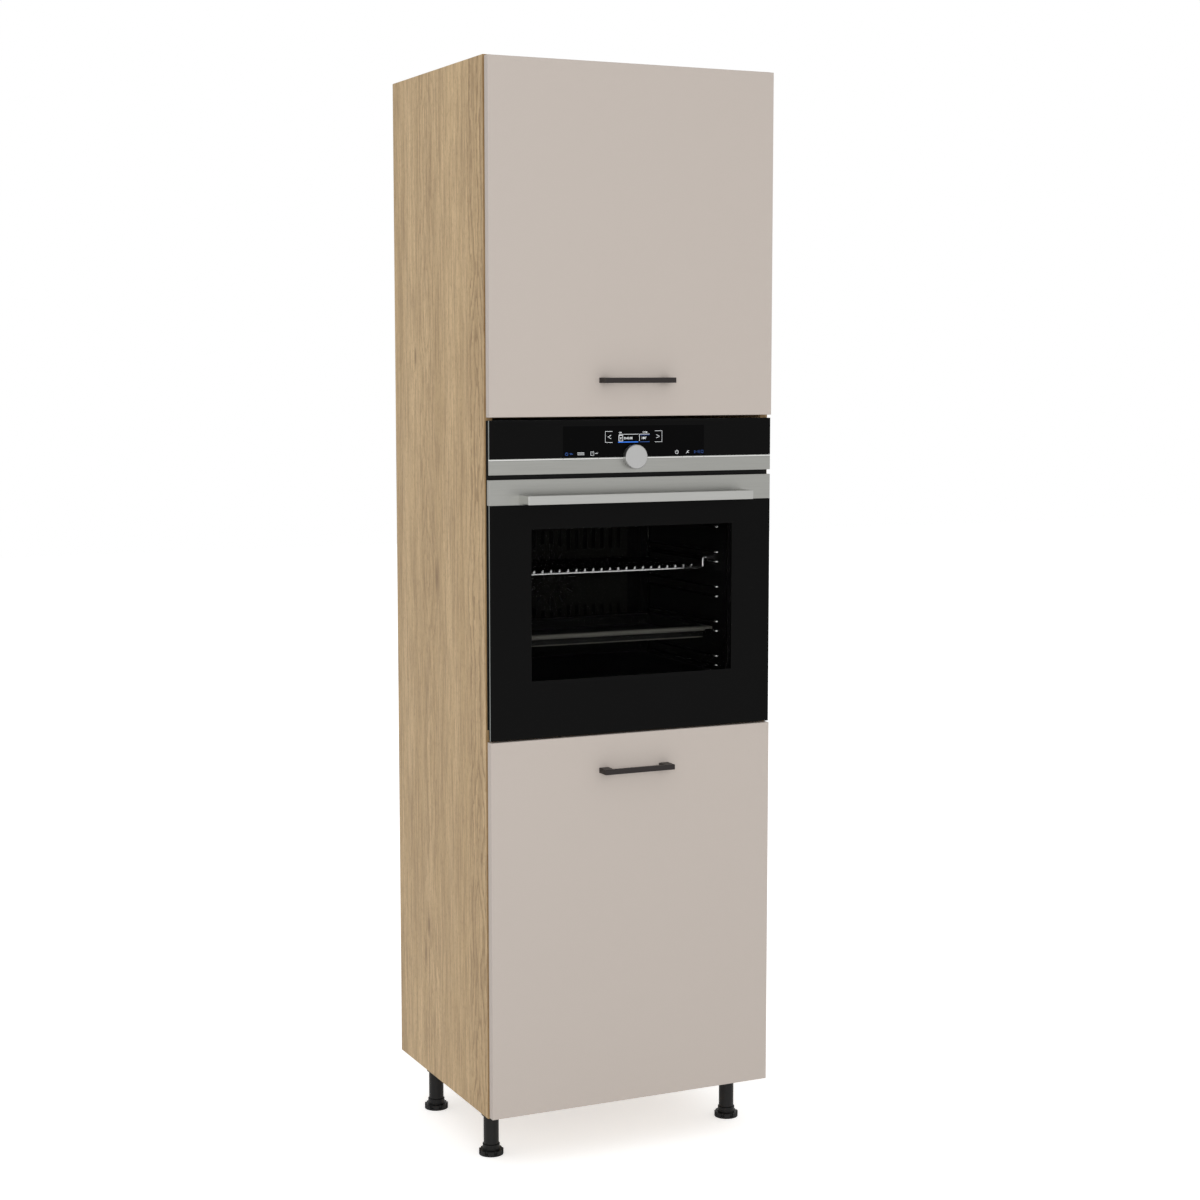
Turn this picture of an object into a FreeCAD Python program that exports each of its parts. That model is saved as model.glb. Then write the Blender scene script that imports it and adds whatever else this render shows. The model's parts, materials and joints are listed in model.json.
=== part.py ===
"""Tall kitchen unit with a built-in oven between a lift-up flap and a pull-out front.

Millimetres. +Z is up, the fronts face -Y and +X is to the right of someone who faces them.
The origin lies on the floor, under the middle of the unit's outline with its handles.
"""
import FreeCAD, Part
import math
import os
import re
import Sketcher
from FreeCAD import Placement, Rotation, Vector

doc = FreeCAD.newDocument("TallOvenUnit")

# Driving dimensions, each written once.
SIZES = (
    # carcass
    ("cabinet_width", 600), ("carcass_height", 2000), ("carcass_depth", 480), ("leg_height", 100),
    ("panel_thickness", 16), ("back_thickness", 3), ("back_let_in", 8), ("seat_gap", 0.3), ("overrun", 1),
    ("oven_shelf_drop", 2), ("niche_roof_cover", 2), ("stretcher_height", 100), ("wall_bolt_radius", 4),
    ("wall_bolt_spacing", 400), ("pin_row_inset", 37), ("pin_row_first", 160), ("pin_pitch", 32),
    ("pin_steps", 5), ("pin_radius", 2.5), ("pin_hole_depth", 12), ("pin_reach", 9),
    ("shelf_setback", 25), ("shelf_side_play", 1), ("cam_radius", 7.5), ("cam_depth", 12.5),
    ("cam_inset", 34), ("cam_bolt_radius", 3), ("cam_row_inset", 60),
    # legs and feet
    ("leg_inset_side", 39), ("leg_inset_front", 80), ("leg_inset_rear", 100), ("socket_plate_radius", 34),
    ("socket_plate_thickness", 3), ("socket_collar_radius", 19), ("socket_collar_height", 18),
    ("leg_radius", 15), ("leg_wall", 2.1), ("foot_radius", 24), ("foot_thickness", 10),
    ("foot_notch_radius", 3.2), ("foot_base", 3.3), ("foot_collar_radius", 17),
    ("foot_collar_height", 11), ("foot_stem_height", 45),
    # fronts and their handles
    ("front_thickness", 18), ("front_gap", 2), ("front_side_reveal", 2), ("front_end_reveal", 3),
    ("front_edge_radius", 1.5), ("drawer_front_height", 728), ("gap_below_oven", 3),
    ("gap_above_oven", 6), ("handle_length", 148), ("handle_height", 10), ("handle_reach", 30),
    ("handle_bar", 8), ("handle_post", 20), ("handle_edge", 0.8), ("handle_to_edge", 68),
    ("handle_screw_radius", 2), ("handle_screw_head", 4), ("handle_screw_head_depth", 2.4),
    ("handle_screw_end", 2),
    # flap hinges and struts
    ("hinge_spacing", 400), ("hinge_cup_radius", 17.5), ("hinge_cup_depth", 11.5),
    ("hinge_cup_wall", 1.5), ("hinge_cup_hollow", 10), ("hinge_cup_inset", 22.5),
    ("hinge_flange_width", 62), ("hinge_flange_height", 16), ("hinge_flange_thickness", 1.2),
    ("hinge_arm_width", 16), ("hinge_arm_height", 9), ("hinge_arm_length", 62), ("hinge_plate_width", 50),
    ("hinge_plate_thickness", 4), ("hinge_plate_start", 21), ("strut_anchor_in", 165),
    ("strut_anchor_down", 85), ("strut_stud_in", 14), ("strut_stud_down", 50), ("strut_from_side", 12),
    ("strut_radius", 7.5), ("strut_tube_length", 98), ("strut_tube_start", 12), ("strut_rod_radius", 3),
    ("strut_rod_length", 136), ("strut_eye_radius", 6), ("strut_eye_width", 5), ("strut_pin_radius", 3),
    ("strut_pin_end", 1), ("stud_ear_gap", 3), ("stud_plate_reach", 10), ("bracket_size", 30),
    ("bracket_thickness", 2), ("running_gap", 0.06),
    # drawer
    ("drawer_side_thickness", 16), ("drawer_side_height", 220), ("drawer_depth", 450),
    ("drawer_lift", 43), ("runner_space", 13), ("runner_height", 45), ("runner_length", 450),
    ("runner_lift", 40), ("runner_sheet", 1.2), ("runner_lip", 8), ("runner_play", 0.4),
    ("gallery_radius", 5), ("gallery_first", 70), ("gallery_spacing", 90), ("gallery_post", 14),
    # oven body
    ("oven_side_reveal", 2.5), ("oven_front_height", 600), ("oven_recess", 3), ("casing_side_play", 5),
    ("casing_drop", 7.7), ("casing_depth", 450), ("casing_sheet", 1.5), ("frame_thickness", 3),
    ("frame_opening_side", 53.5), ("frame_opening_drop", 24), ("frame_foot", 20), ("cavity_side", 61),
    ("cavity_drop", 49), ("cavity_floor", 96), ("cavity_front", 36), ("cavity_depth", 379),
    ("cavity_sheet", 2), ("mouth_plate_drop", 24), ("gasket_width", 6), ("gasket_thickness", 3.2),
    ("gasket_margin", 5), ("fan_drop", 6.5), ("fan_radius", 70), ("fan_blade_height", 12),
    ("fan_blade_thickness", 1.2), ("fan_blade_inner", 35), ("fan_rim", 3), ("fan_shaft_radius", 4),
    ("fan_hub_radius", 12), ("fan_gap", 6), ("fan_cover_side", 43), ("fan_cover_margin", 56.5),
    ("fan_cover_depth", 23), ("fan_cover_sheet", 1.5), ("fan_slot_width", 9), ("fan_slot_inner", 58),
    ("fan_slot_side", 19.8), ("fan_slot_edge", 16), ("fan_intake_radius", 8), ("fan_intake_pitch", 24),
    ("motor_radius", 36), ("motor_length", 30), ("grill_radius", 3.5), ("grill_below_roof", 14),
    ("grill_side", 48), ("grill_depth", 260), ("grill_bend_radius", 27), ("grill_turn_space", 14),
    ("lamp_radius", 18), ("lamp_depth", 10), ("lamp_from_side", 22), ("lamp_below_roof", 30),
    ("screw_radius", 2), ("screw_length", 24), ("screw_from_edge", 6.5), ("frame_screw_inset", 80),
    ("screw_head_radius", 4), ("screw_hole_spare", 2),
    # racks, shelf and tray
    ("rack_wire_radius", 2.5), ("rack_wall_gap", 2), ("rack_front", 29), ("rack_rear", 40),
    ("rack_first", 11), ("rack_steps", 4), ("rack_top_space", 56.8), ("rack_pair", 19),
    ("rack_bend_radius", 4), ("shelf_wire_radius", 2.5),
    ("shelf_runner_radius", 3), ("shelf_grid_radius", 2), ("shelf_front", 74), ("shelf_rear", 55),
    ("shelf_dip", 20), ("shelf_shoulder", 8), ("shelf_bend_radius", 3.5), ("shelf_grid_side", 26),
    ("shelf_grid_steps", 10), ("shelf_level", 3), ("tray_level", 1), ("tray_front", 49), ("tray_rear", 60),
    ("tray_rim_thickness", 5), ("tray_rim_width", 14), ("tray_depth", 18), ("tray_sheet", 1.5),
    ("rack_play", 1.5),
    # control panel and knob
    ("panel_height", 101), ("strip_height", 30), ("panel_sheet", 5), ("strip_bevel", 1),
    ("housing_depth", 40), ("housing_module_width", 300), ("housing_module_height", 78),
    ("knob_radius", 23), ("knob_reach", 14), ("knob_edge", 1.2), ("knob_shaft_radius", 3),
    ("knob_shaft_end", 2), ("knob_collar_radius", 8),
    # oven door
    ("door_panel_gap", 9), ("band_height", 47.5), ("band_sheet", 1.5), ("pane_thickness", 4),
    ("pane_corner", 3), ("door_slab", 8), ("door_slab_margin", 2), ("window_side", 84.5),
    ("window_drop", 94), ("window_lift", 109), ("window_border", 4), ("door_box_side", 62.5),
    ("door_box_depth", 15), ("door_box_foot", 46), ("door_box_drop", 36), ("inner_pane_margin", 5),
    ("pivot_depth", 7), ("pivot_lift", 8), ("pivot_radius", 2.5), ("pivot_length", 10),
    ("hinge_from_side", 45.5), ("hinge_sheet", 4), ("oven_handle_side", 60.5),
    ("oven_handle_height", 17), ("oven_handle_reach", 40), ("oven_handle_bar", 12),
    ("oven_handle_post", 15), ("oven_handle_lift", 10.5), ("oven_handle_edge", 1),
    # rear terminal box
    ("terminal_width", 80), ("terminal_height", 60), ("terminal_depth", 22), ("terminal_from_side", 89),
    ("terminal_lift", 410), ("cord_hole_radius", 6), ("cord_hole_depth", 15),
)

# Places worked out from the sizes. front_plane is the outer face of the two cabinet fronts.
PLACES = (
    ("front_plane", "(oven_handle_reach - front_thickness - front_gap - carcass_depth) / 2"),
    ("front_back", "front_plane + front_thickness"),
    ("carcass_front", "front_back + front_gap"),
    ("carcass_rear", "carcass_front + carcass_depth"),
    ("back_front", "carcass_rear - back_thickness"),
    ("half_width", "cabinet_width / 2"),
    ("inner_half", "half_width - panel_thickness"),
    ("rebate_half", "inner_half + back_let_in"),
    ("carcass_bottom", "leg_height"),
    ("carcass_top", "carcass_bottom + carcass_height"),
    ("floor_top", "carcass_bottom + panel_thickness"),
    ("front_half", "half_width - front_side_reveal"),
    ("drawer_front_bottom", "carcass_bottom + front_end_reveal"),
    ("drawer_front_top", "drawer_front_bottom + drawer_front_height"),
    ("oven_bottom", "drawer_front_top + gap_below_oven"),
    ("oven_top", "oven_bottom + oven_front_height"),
    ("panel_bottom", "oven_top - panel_height"),
    ("door_top", "panel_bottom - door_panel_gap"),
    ("flap_bottom", "oven_top + gap_above_oven"),
    ("flap_top", "carcass_top - front_end_reveal"),
    ("shelf_top", "oven_bottom - oven_shelf_drop"),
    ("shelf_bottom", "shelf_top - panel_thickness"),
    ("roof_bottom", "flap_bottom + niche_roof_cover"),
    ("roof_top", "roof_bottom + panel_thickness"),
    ("pin_front", "carcass_front + pin_row_inset"),
    ("pin_back", "back_front - pin_row_inset"),
    ("pin_first", "roof_top + pin_row_first"),
    ("shelf_pin_height", "pin_first + pin_steps * pin_pitch"),
    ("leg_side", "half_width - leg_inset_side"),
    ("leg_front", "carcass_front + leg_inset_front"),
    ("leg_back", "carcass_rear - leg_inset_rear"),
    ("foot_collar_top", "foot_thickness + foot_collar_height"),
    ("leg_bore", "leg_radius - leg_wall"),
    ("flap_handle_height", "flap_bottom + handle_to_edge"),
    ("drawer_handle_height", "drawer_front_top - handle_to_edge"),
    ("handle_screw_side", "(handle_length - handle_post) / 2"),
    ("hinge_side", "hinge_spacing / 2"),
    ("hinge_cup_height", "flap_top - hinge_cup_inset"),
    ("top_under", "carcass_top - panel_thickness"),
    ("anchor_y", "front_back + strut_anchor_in"),
    ("anchor_z", "flap_top - strut_anchor_down"),
    ("stud_y", "front_back + strut_stud_in"),
    ("stud_z", "flap_top - strut_stud_down"),
    ("strut_rise", "strut_anchor_down - strut_stud_down"),
    ("strut_run", "strut_anchor_in - strut_stud_in"),
    ("strut_tilt", "atan2(strut_run; strut_rise) / 1deg"),
    ("strut_closed", "sqrt(strut_run * strut_run + strut_rise * strut_rise)"),
    ("strut_lane", "inner_half - strut_from_side"),
    ("strut_lane_in", "strut_lane - strut_eye_width / 2"),
    ("strut_lane_out", "strut_lane + strut_eye_width / 2"),
    ("box_outer", "inner_half - runner_space"),
    ("box_inner", "box_outer - drawer_side_thickness"),
    ("box_bottom", "floor_top + drawer_lift - drawer_side_thickness"),
    ("box_floor", "box_bottom + drawer_side_thickness"),
    ("box_top", "box_bottom + drawer_side_height"),
    ("box_rear", "front_back + drawer_depth"),
    ("runner_middle_height", "box_bottom + runner_lift"),
    ("runner_front", "carcass_front + seat_gap"),
    ("runner_rear", "runner_front + runner_length"),
    ("oven_half", "half_width - oven_side_reveal"),
    ("oven_face", "front_plane + oven_recess"),
    ("frame_back", "carcass_front - seat_gap"),
    ("frame_face", "frame_back - frame_thickness"),
    ("casing_half", "inner_half - casing_side_play"),
    ("casing_bottom", "shelf_top + seat_gap"),
    ("casing_top", "oven_top - casing_drop"),
    ("casing_rear", "frame_back + casing_depth"),
    ("cavity_half", "casing_half - cavity_side"),
    ("cavity_mouth", "front_plane + cavity_front"),
    ("cavity_rear", "cavity_mouth + cavity_depth"),
    ("cavity_low", "oven_bottom + cavity_floor"),
    ("cavity_high", "door_top - cavity_drop"),
    ("cavity_height", "cavity_high - cavity_low"),
    ("mouth_plate_half", "casing_half - casing_sheet"),
    ("mouth_plate_face", "cavity_mouth - cavity_sheet"),
    ("fan_z", "(cavity_low + cavity_high) / 2 - fan_drop"),
    ("fan_cover_half", "cavity_half - fan_cover_side"),
    ("fan_cover_rise", "cavity_height / 2 - fan_cover_margin"),
    ("fan_slot_height", "fan_cover_rise - fan_slot_edge - fan_slot_inner"),
    ("fan_cover_front", "cavity_rear - fan_cover_depth"),
    ("fan_front", "cavity_rear - fan_gap - fan_blade_height"),
    ("motor_front", "cavity_rear + cavity_sheet"),
    ("grill_z", "cavity_high - grill_below_roof"),
    ("rack_x", "cavity_half - rack_wall_gap - rack_wire_radius"),
    ("rack_y_front", "cavity_mouth + rack_front"),
    ("rack_y_rear", "cavity_rear - rack_rear"),
    ("rack_low", "cavity_low + rack_first"),
    ("rack_pitch", "(cavity_height - rack_first - rack_top_space) / rack_steps"),
    ("carry_half", "rack_x - rack_wire_radius - rack_play"),
    ("wire_shelf_front", "cavity_mouth + shelf_front"),
    ("wire_shelf_rear", "cavity_rear - shelf_rear"),
    ("wire_runner_z",
     "rack_low + shelf_level * rack_pitch + rack_wire_radius + shelf_runner_radius + seat_gap"),
    ("wire_shelf_z", "wire_runner_z - shelf_dip"),
    ("wire_runner_x", "rack_x - rack_wire_radius + shelf_runner_radius"),
    ("shelf_grid_pitch", "(wire_runner_x - shelf_shoulder - shelf_grid_side) / shelf_grid_steps"),
    ("tray_y_front", "cavity_mouth + tray_front"),
    ("tray_y_rear", "cavity_rear - tray_rear"),
    ("tray_rim_low", "rack_low + tray_level * rack_pitch + rack_wire_radius + seat_gap"),
    ("tray_half", "rack_x + rack_wire_radius / 2"),
    ("strip_top", "panel_bottom + strip_height"),
    ("panel_back", "oven_face + panel_sheet"),
    ("housing_rear", "frame_back + housing_depth"),
    ("module_mid", "(panel_bottom + oven_top) / 2"),
    ("band_bottom", "door_top - band_height"),
    ("pane_back", "oven_face + pane_thickness"),
    ("slab_back", "pane_back + door_slab"),
    ("box_back", "slab_back + door_box_depth"),
    ("window_low", "oven_bottom + window_lift"),
    ("window_high", "door_top - window_drop"),
    ("window_half", "oven_half - window_side"),
    ("door_box_half", "oven_half - door_box_side"),
    ("door_box_high", "door_top - door_box_drop"),
    ("hinge_from_middle", "oven_half - hinge_from_side"),
    ("oven_handle_length", "2 * (oven_half - oven_handle_side)"),
    ("pivot_y", "oven_face + pivot_depth"),
    ("pivot_z", "oven_bottom + pivot_lift"),
    ("oven_handle_z", "band_bottom + oven_handle_lift"),
    ("oven_handle_front", "front_plane - oven_handle_reach"),
    ("terminal_side", "casing_half - terminal_from_side"),
    ("terminal_z", "oven_bottom + terminal_lift"),
)

# Counts.
PIN_HOLES = 11
FOOT_NOTCHES = 8
FAN_BLADES = 12
FAN_SLOTS = 17
FAN_INTAKE_RINGS = (1, 6, 12)
RACK_LEVELS = 5
GRID_WIRES = 21
GALLERY_RAILS = 2
GRILL_PASSES = 5

ALONG = {
    "x": Rotation(Vector(0, 1, 0), 90),
    "y": Rotation(Vector(1, 0, 0), -90),
    "z": Rotation(),
}
SIZE_NAMES = {name for name, value in SIZES}
PLACE_NAMES = {name for name, text in PLACES}


def formula(text):
    """Return an expression in which every name of the two sheets is written out in full."""
    def full_name(match):
        word = match.group(0)
        if word in SIZE_NAMES:
            return "Sizes." + word
        if word in PLACE_NAMES:
            return "Places." + word
        return word
    return re.sub(r"[a-z][a-z_0-9]*", full_name, text)


def fill_sheets():
    """Put the driving sizes in one sheet and the places that follow from them in another."""
    sizes = doc.addObject("Spreadsheet::Sheet", "Sizes")
    for row, (name, value) in enumerate(SIZES, start=1):
        sizes.set(f"A{row}", str(value))
        sizes.setAlias(f"A{row}", name)
    doc.recompute()
    places = doc.addObject("Spreadsheet::Sheet", "Places")
    for row, (name, text) in enumerate(PLACES, start=1):
        places.setAlias(f"A{row}", name)
    for row, (name, text) in enumerate(PLACES, start=1):
        places.set(f"A{row}", "=" + formula(text).replace("Places.", ""))
    doc.recompute()
    return sizes, places


sizes_sheet, places_sheet = fill_sheets()


def size(name):
    """Return the number of one named size or place."""
    sheet = sizes_sheet if name in SIZE_NAMES else places_sheet
    return float(sheet.get(name))


def bind(item, prop, text):
    """Tie a property to an expression in the sheets' names."""
    item.setExpression(prop, formula(str(text)))


def bind_place(item, x, y, z):
    """Tie an object's position to three expressions."""
    for axis, text in (("x", x), ("y", y), ("z", z)):
        bind(item, "Placement.Base." + axis, text)


# Part objects -------------------------------------------------------------------------------

def block(name, x, y, z):
    """Make a box; each of x, y and z is a pair of expressions, the low and the high side."""
    item = doc.addObject("Part::Box", name)
    for prop, (low, high) in (("Length", x), ("Width", y), ("Height", z)):
        bind(item, prop, f"({high}) - ({low})")
    bind_place(item, x[0], y[0], z[0])
    return item


def rod(name, radius, axis, span, centre):
    """Make a cylinder along an axis; centre holds its other two coordinates."""
    item = doc.addObject("Part::Cylinder", name)
    low, high = span
    bind(item, "Radius", radius)
    bind(item, "Height", f"({high}) - ({low})")
    item.Placement = Placement(Vector(), ALONG[axis])
    corner = dict(zip([other for other in "xyz" if other != axis], centre))
    corner[axis] = low
    bind_place(item, corner["x"], corner["y"], corner["z"])
    return item


def joined(name, shapes):
    """Fuse shapes into one."""
    item = doc.addObject("Part::MultiFuse", name)
    item.Shapes = shapes
    item.Refine = True
    return item


def grouped(name, shapes):
    """Hold several separate solids in one sub-part."""
    item = doc.addObject("Part::Compound", name)
    item.Links = shapes
    return item


def cut(name, base, tools):
    """Cut one or more shapes from a base."""
    item = doc.addObject("Part::Cut", name)
    item.Base = base
    item.Tool = tools[0] if len(tools) == 1 else joined(name + "_tools", tools)
    item.Refine = True
    return item


def mirrored(name, source):
    """Mirror a shape from one side of the unit to the other."""
    item = doc.addObject("Part::Mirroring", name)
    item.Source = source
    item.Normal = Vector(1, 0, 0)
    return item


def both_sides(name, source):
    """Group a shape with its mirror image."""
    return grouped(name, [source, mirrored(name + "_mirror", source)])


def tilted(item, tilt, x, y, z):
    """Turn an object that was built along +Z about the X axis, and set its place."""
    item.Placement = Placement(Vector(), Rotation(Vector(1, 0, 0), 45))
    bind(item, "Placement.Rotation.Angle", tilt)
    bind_place(item, x, y, z)
    return item


def bent_rod(name, corners, bend, radius):
    """Make a round rod of straight runs joined by tangent arcs of one radius."""
    edges = []
    start = corners[0]
    for before, corner, after in zip(corners, corners[1:], corners[2:]):
        way_in = (corner - before).normalize()
        way_out = (after - corner).normalize()
        half_turn = way_in.getAngle(way_out) / 2
        enter = corner - way_in * bend * math.tan(half_turn)
        leave = corner + way_out * bend * math.tan(half_turn)
        middle = corner + (way_out - way_in).normalize() * bend * (1 / math.cos(half_turn) - 1)
        edges.append(Part.LineSegment(start, enter).toShape())
        edges.append(Part.Arc(enter, middle, leave).toShape())
        start = leave
    edges.append(Part.LineSegment(start, corners[-1]).toShape())
    section = Part.Circle(corners[0], corners[1] - corners[0], radius)
    item = doc.addObject("Part::Feature", name)
    item.Shape = Part.Wire(edges).makePipeShell([Part.Wire(section.toShape())], True, False)
    item.Placement = Placement()
    return item


# PartDesign bodies --------------------------------------------------------------------------

def new_body(name, x, y, z):
    """Make an empty body at a place."""
    body = doc.addObject("PartDesign::Body", name)
    bind_place(body, x, y, z)
    return body


def new_sketch(body, role, offset=None):
    """Attach a sketch to one of the body's own planes."""
    sketch = body.newObject("Sketcher::SketchObject", body.Name + "_sketch")
    plane = [item for item in body.Origin.OriginFeatures if item.Role == role][0]
    sketch.AttachmentSupport = [(plane, "")]
    sketch.MapMode = "FlatFace"
    if offset is not None:
        bind(sketch, "AttachmentOffset.Base.z", offset)
    return sketch


def pin_point(sketch, line, end, point):
    """Hold one point of a sketch at two expressions; a plain 0 puts it on that axis."""
    for kind, axis_line, text in (("DistanceX", -2, point[0]), ("DistanceY", -1, point[1])):
        if str(text) == "0":
            sketch.addConstraint(Sketcher.Constraint("PointOnObject", line, end, axis_line))
        else:
            index = sketch.addConstraint(Sketcher.Constraint(kind, -1, 1, line, end, 10.0))
            bind(sketch, f"Constraints[{index}]", text)


def draw_outline(sketch, points):
    """Draw a closed outline of straight lines through points given as expressions."""
    count = len(points)
    first = sketch.GeometryCount
    # Any open zigzag does as a start; the constraints move its corners.
    rough = [Vector(10 + 3 * index, 10 + 2 * index * index, 0) for index in range(count)]
    for index in range(count):
        sketch.addGeometry(Part.LineSegment(rough[index], rough[(index + 1) % count]))
    for index in range(count):
        following = first + (index + 1) % count
        sketch.addConstraint(Sketcher.Constraint("Coincident", first + index, 2, following, 1))
    for index, point in enumerate(points):
        pin_point(sketch, first + index, 1, point)


def draw_box(sketch, width, height, left="0", low="0"):
    """Draw a rectangle."""
    right = f"({left}) + ({width})"
    high = f"({low}) + ({height})"
    draw_outline(sketch, ((left, low), (right, low), (right, high), (left, high)))


def draw_circle(sketch, x, y, radius):
    """Draw a circle whose centre and radius are expressions."""
    circle = sketch.addGeometry(Part.Circle(Vector(10, 10, 0), Vector(0, 0, 1), 5))
    pin_point(sketch, circle, 3, (x, y))
    index = sketch.addConstraint(Sketcher.Constraint("Radius", circle, 5.0))
    bind(sketch, f"Constraints[{index}]", radius)


def pad(body, sketch, length, backwards=False):
    """Add material from a sketch."""
    feature = body.newObject("PartDesign::Pad", body.Name + "_pad")
    feature.Profile = sketch
    feature.Reversed = backwards
    bind(feature, "Length", length)
    return feature


def pocket(body, sketch, length, backwards=False):
    """Take material away, and check that some went."""
    doc.recompute()
    before = body.Shape.Volume
    feature = body.newObject("PartDesign::Pocket", body.Name + "_pocket")
    feature.Profile = sketch
    feature.Reversed = backwards
    bind(feature, "Length", length)
    doc.recompute()
    if not body.Shape.Volume < before:
        raise RuntimeError(feature.Name + " cuts nothing")
    return feature


def round_edges(body, feature, radius, chosen):
    """Round the edges of a feature that the given test picks."""
    doc.recompute()
    names = [f"Edge{number}" for number, edge in enumerate(feature.Shape.Edges, start=1) if chosen(edge)]
    fillet = body.newObject("PartDesign::Fillet", body.Name + "_fillet")
    fillet.Base = (feature, names)
    bind(fillet, "Radius", radius)
    return fillet


def revolve(body, sketch):
    """Turn a sketch about its own vertical axis."""
    feature = body.newObject("PartDesign::Revolution", body.Name + "_turn")
    feature.Profile = sketch
    feature.ReferenceAxis = (sketch, ["V_Axis"])
    feature.Angle = 360
    return feature


# Carcass ------------------------------------------------------------------------------------

def frame_screw_places():
    """Return the heights of the screws that hold the oven's frame to the side panels."""
    return ("oven_bottom + frame_screw_inset", "oven_top - frame_screw_inset")


def cam_heights():
    """Return, by name, the mid-height of each panel that is joined to the sides."""
    half_panel = "panel_thickness / 2"
    return {
        "floor": "carcass_bottom + " + half_panel,
        "shelf": "shelf_bottom + " + half_panel,
        "roof": "roof_bottom + " + half_panel,
        "top": "top_under + " + half_panel,
    }


def cam_rows():
    """Return the two depths at which panels are bolted to the sides."""
    return ("carcass_front + cam_row_inset", "back_front - cam_row_inset")


def side_panel(name, side):
    """Make one side: a board with a rebate, two rows of pin holes and holes for bolts and screws."""
    left = side < 0
    body = new_body(name + "_board", "-half_width" if left else "inner_half", "carcass_front",
                    "carcass_bottom")
    outline = new_sketch(body, "YZ_Plane")
    draw_box(outline, "carcass_depth", "carcass_height")
    pad(body, outline, "panel_thickness")
    inner_face = "panel_thickness" if left else None
    rebate = new_sketch(body, "YZ_Plane", inner_face)
    draw_box(rebate, "back_thickness", "carcass_height", left="carcass_depth - back_thickness")
    pocket(body, rebate, "back_let_in", backwards=not left)
    holes = new_sketch(body, "YZ_Plane", inner_face)
    for depth in ("pin_front", "pin_back"):
        draw_circle(holes, depth + " - carcass_front", "pin_first - carcass_bottom", "pin_radius")
    first_holes = pocket(body, holes, "pin_hole_depth", backwards=not left)
    row = body.newObject("PartDesign::LinearPattern", name + "_pin_row")
    row.Originals = [first_holes]
    row.Direction = (holes, ["V_Axis"])
    row.Occurrences = PIN_HOLES
    bind(row, "Length", f"pin_pitch * {PIN_HOLES - 1}")
    body.Tip = row
    inner = "inner_half" if side > 0 else "-inner_half"
    span = (inner, inner + " + cam_depth") if side > 0 else (inner + " - cam_depth", inner)
    tools = []
    for level, height in cam_heights().items():
        for index, depth in enumerate(cam_rows()):
            tools.append(rod(f"{name}_{level}_bolt_hole_{index}", "cam_bolt_radius + seat_gap", "x", span,
                             (depth, height)))
    middle = f"{side} * (oven_half - screw_from_edge)"
    for index, height in enumerate(frame_screw_places()):
        tools.append(rod(f"{name}_frame_hole_{index}", "screw_radius + seat_gap", "y",
                         ("carcass_front - overrun", "frame_face + screw_length + screw_hole_spare"),
                         (middle, height)))
    return cut(name, body, tools)


def board(name, level, z):
    """Make a panel that lies between the sides, with its four bored seats for cams and bolts."""
    base = block(name + "_board", ("-inner_half", "inner_half"), ("carcass_front", "back_front"), z)
    height = cam_heights()[level]
    tools = []
    for side in (-1, 1):
        edge = f"{side} * inner_half"
        cam_x = f"{side} * (inner_half - cam_inset)"
        span = (cam_x, edge) if side > 0 else (edge, cam_x)
        for index, depth in enumerate(cam_rows()):
            tools.append(rod(f"{name}_cam_seat_{side}_{index}", "cam_radius + seat_gap", "z",
                             (f"{z[0]} - overrun", f"{z[0]} + cam_depth + seat_gap"), (cam_x, depth)))
            tools.append(rod(f"{name}_bolt_seat_{side}_{index}", "cam_bolt_radius + seat_gap", "x", span,
                             (depth, height)))
    return cut(name, base, tools)


def cam_fittings():
    """Make the cams and their bolts, one pair at each corner of the four boards."""
    lows = {"floor": "carcass_bottom", "shelf": "shelf_bottom", "roof": "roof_bottom", "top": "top_under"}
    pieces = []
    for level, height in cam_heights().items():
        for side in (-1, 1):
            cam_x = f"{side} * (inner_half - cam_inset)"
            near = f"{side} * (inner_half - cam_inset + cam_radius + seat_gap)"
            far = f"{side} * (inner_half + cam_depth - 2 * seat_gap)"
            span = (near, far) if side > 0 else (far, near)
            for index, depth in enumerate(cam_rows()):
                tag = f"{level}_{side}_{index}"
                pieces.append(rod(f"cam_{tag}", "cam_radius", "z",
                                  (lows[level], f"{lows[level]} + cam_depth"),
                                  (cam_x, depth)))
                pieces.append(rod(f"bolt_{tag}", "cam_bolt_radius", "x", span, (depth, height)))
    return grouped("cam_fittings", pieces)


def back_panel(name, z):
    """Make a thin back that lies in the rebates of the sides, against the boards' rear edges."""
    half = "rebate_half - seat_gap"
    return block(name, (f"-({half})", half), ("back_front", "carcass_rear"), z)


def rear_stretcher():
    """Make the rail behind the oven's top, with the two holes for wall bolts."""
    rear = ("back_front - panel_thickness", "back_front")
    board_shape = block("stretcher_board", ("-inner_half", "inner_half"), rear,
                        ("roof_bottom - stretcher_height", "roof_bottom"))
    holes = []
    for side in (-1, 1):
        holes.append(rod(f"wall_hole_{side}", "wall_bolt_radius", "y",
                         (rear[0] + " - overrun", rear[1] + " + overrun"),
                         (f"{side} * wall_bolt_spacing / 2", "roof_bottom - stretcher_height / 2")))
    return cut("rear_stretcher", board_shape, holes)


def adjustable_shelf():
    """Make the loose shelf of the upper compartment."""
    half = "inner_half - shelf_side_play"
    low = "shelf_pin_height + pin_radius - seat_gap"
    return block("adjustable_shelf", (f"-({half})", half),
                 ("carcass_front + shelf_setback", "back_front - seat_gap"),
                 (low, low + " + panel_thickness"))


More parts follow.
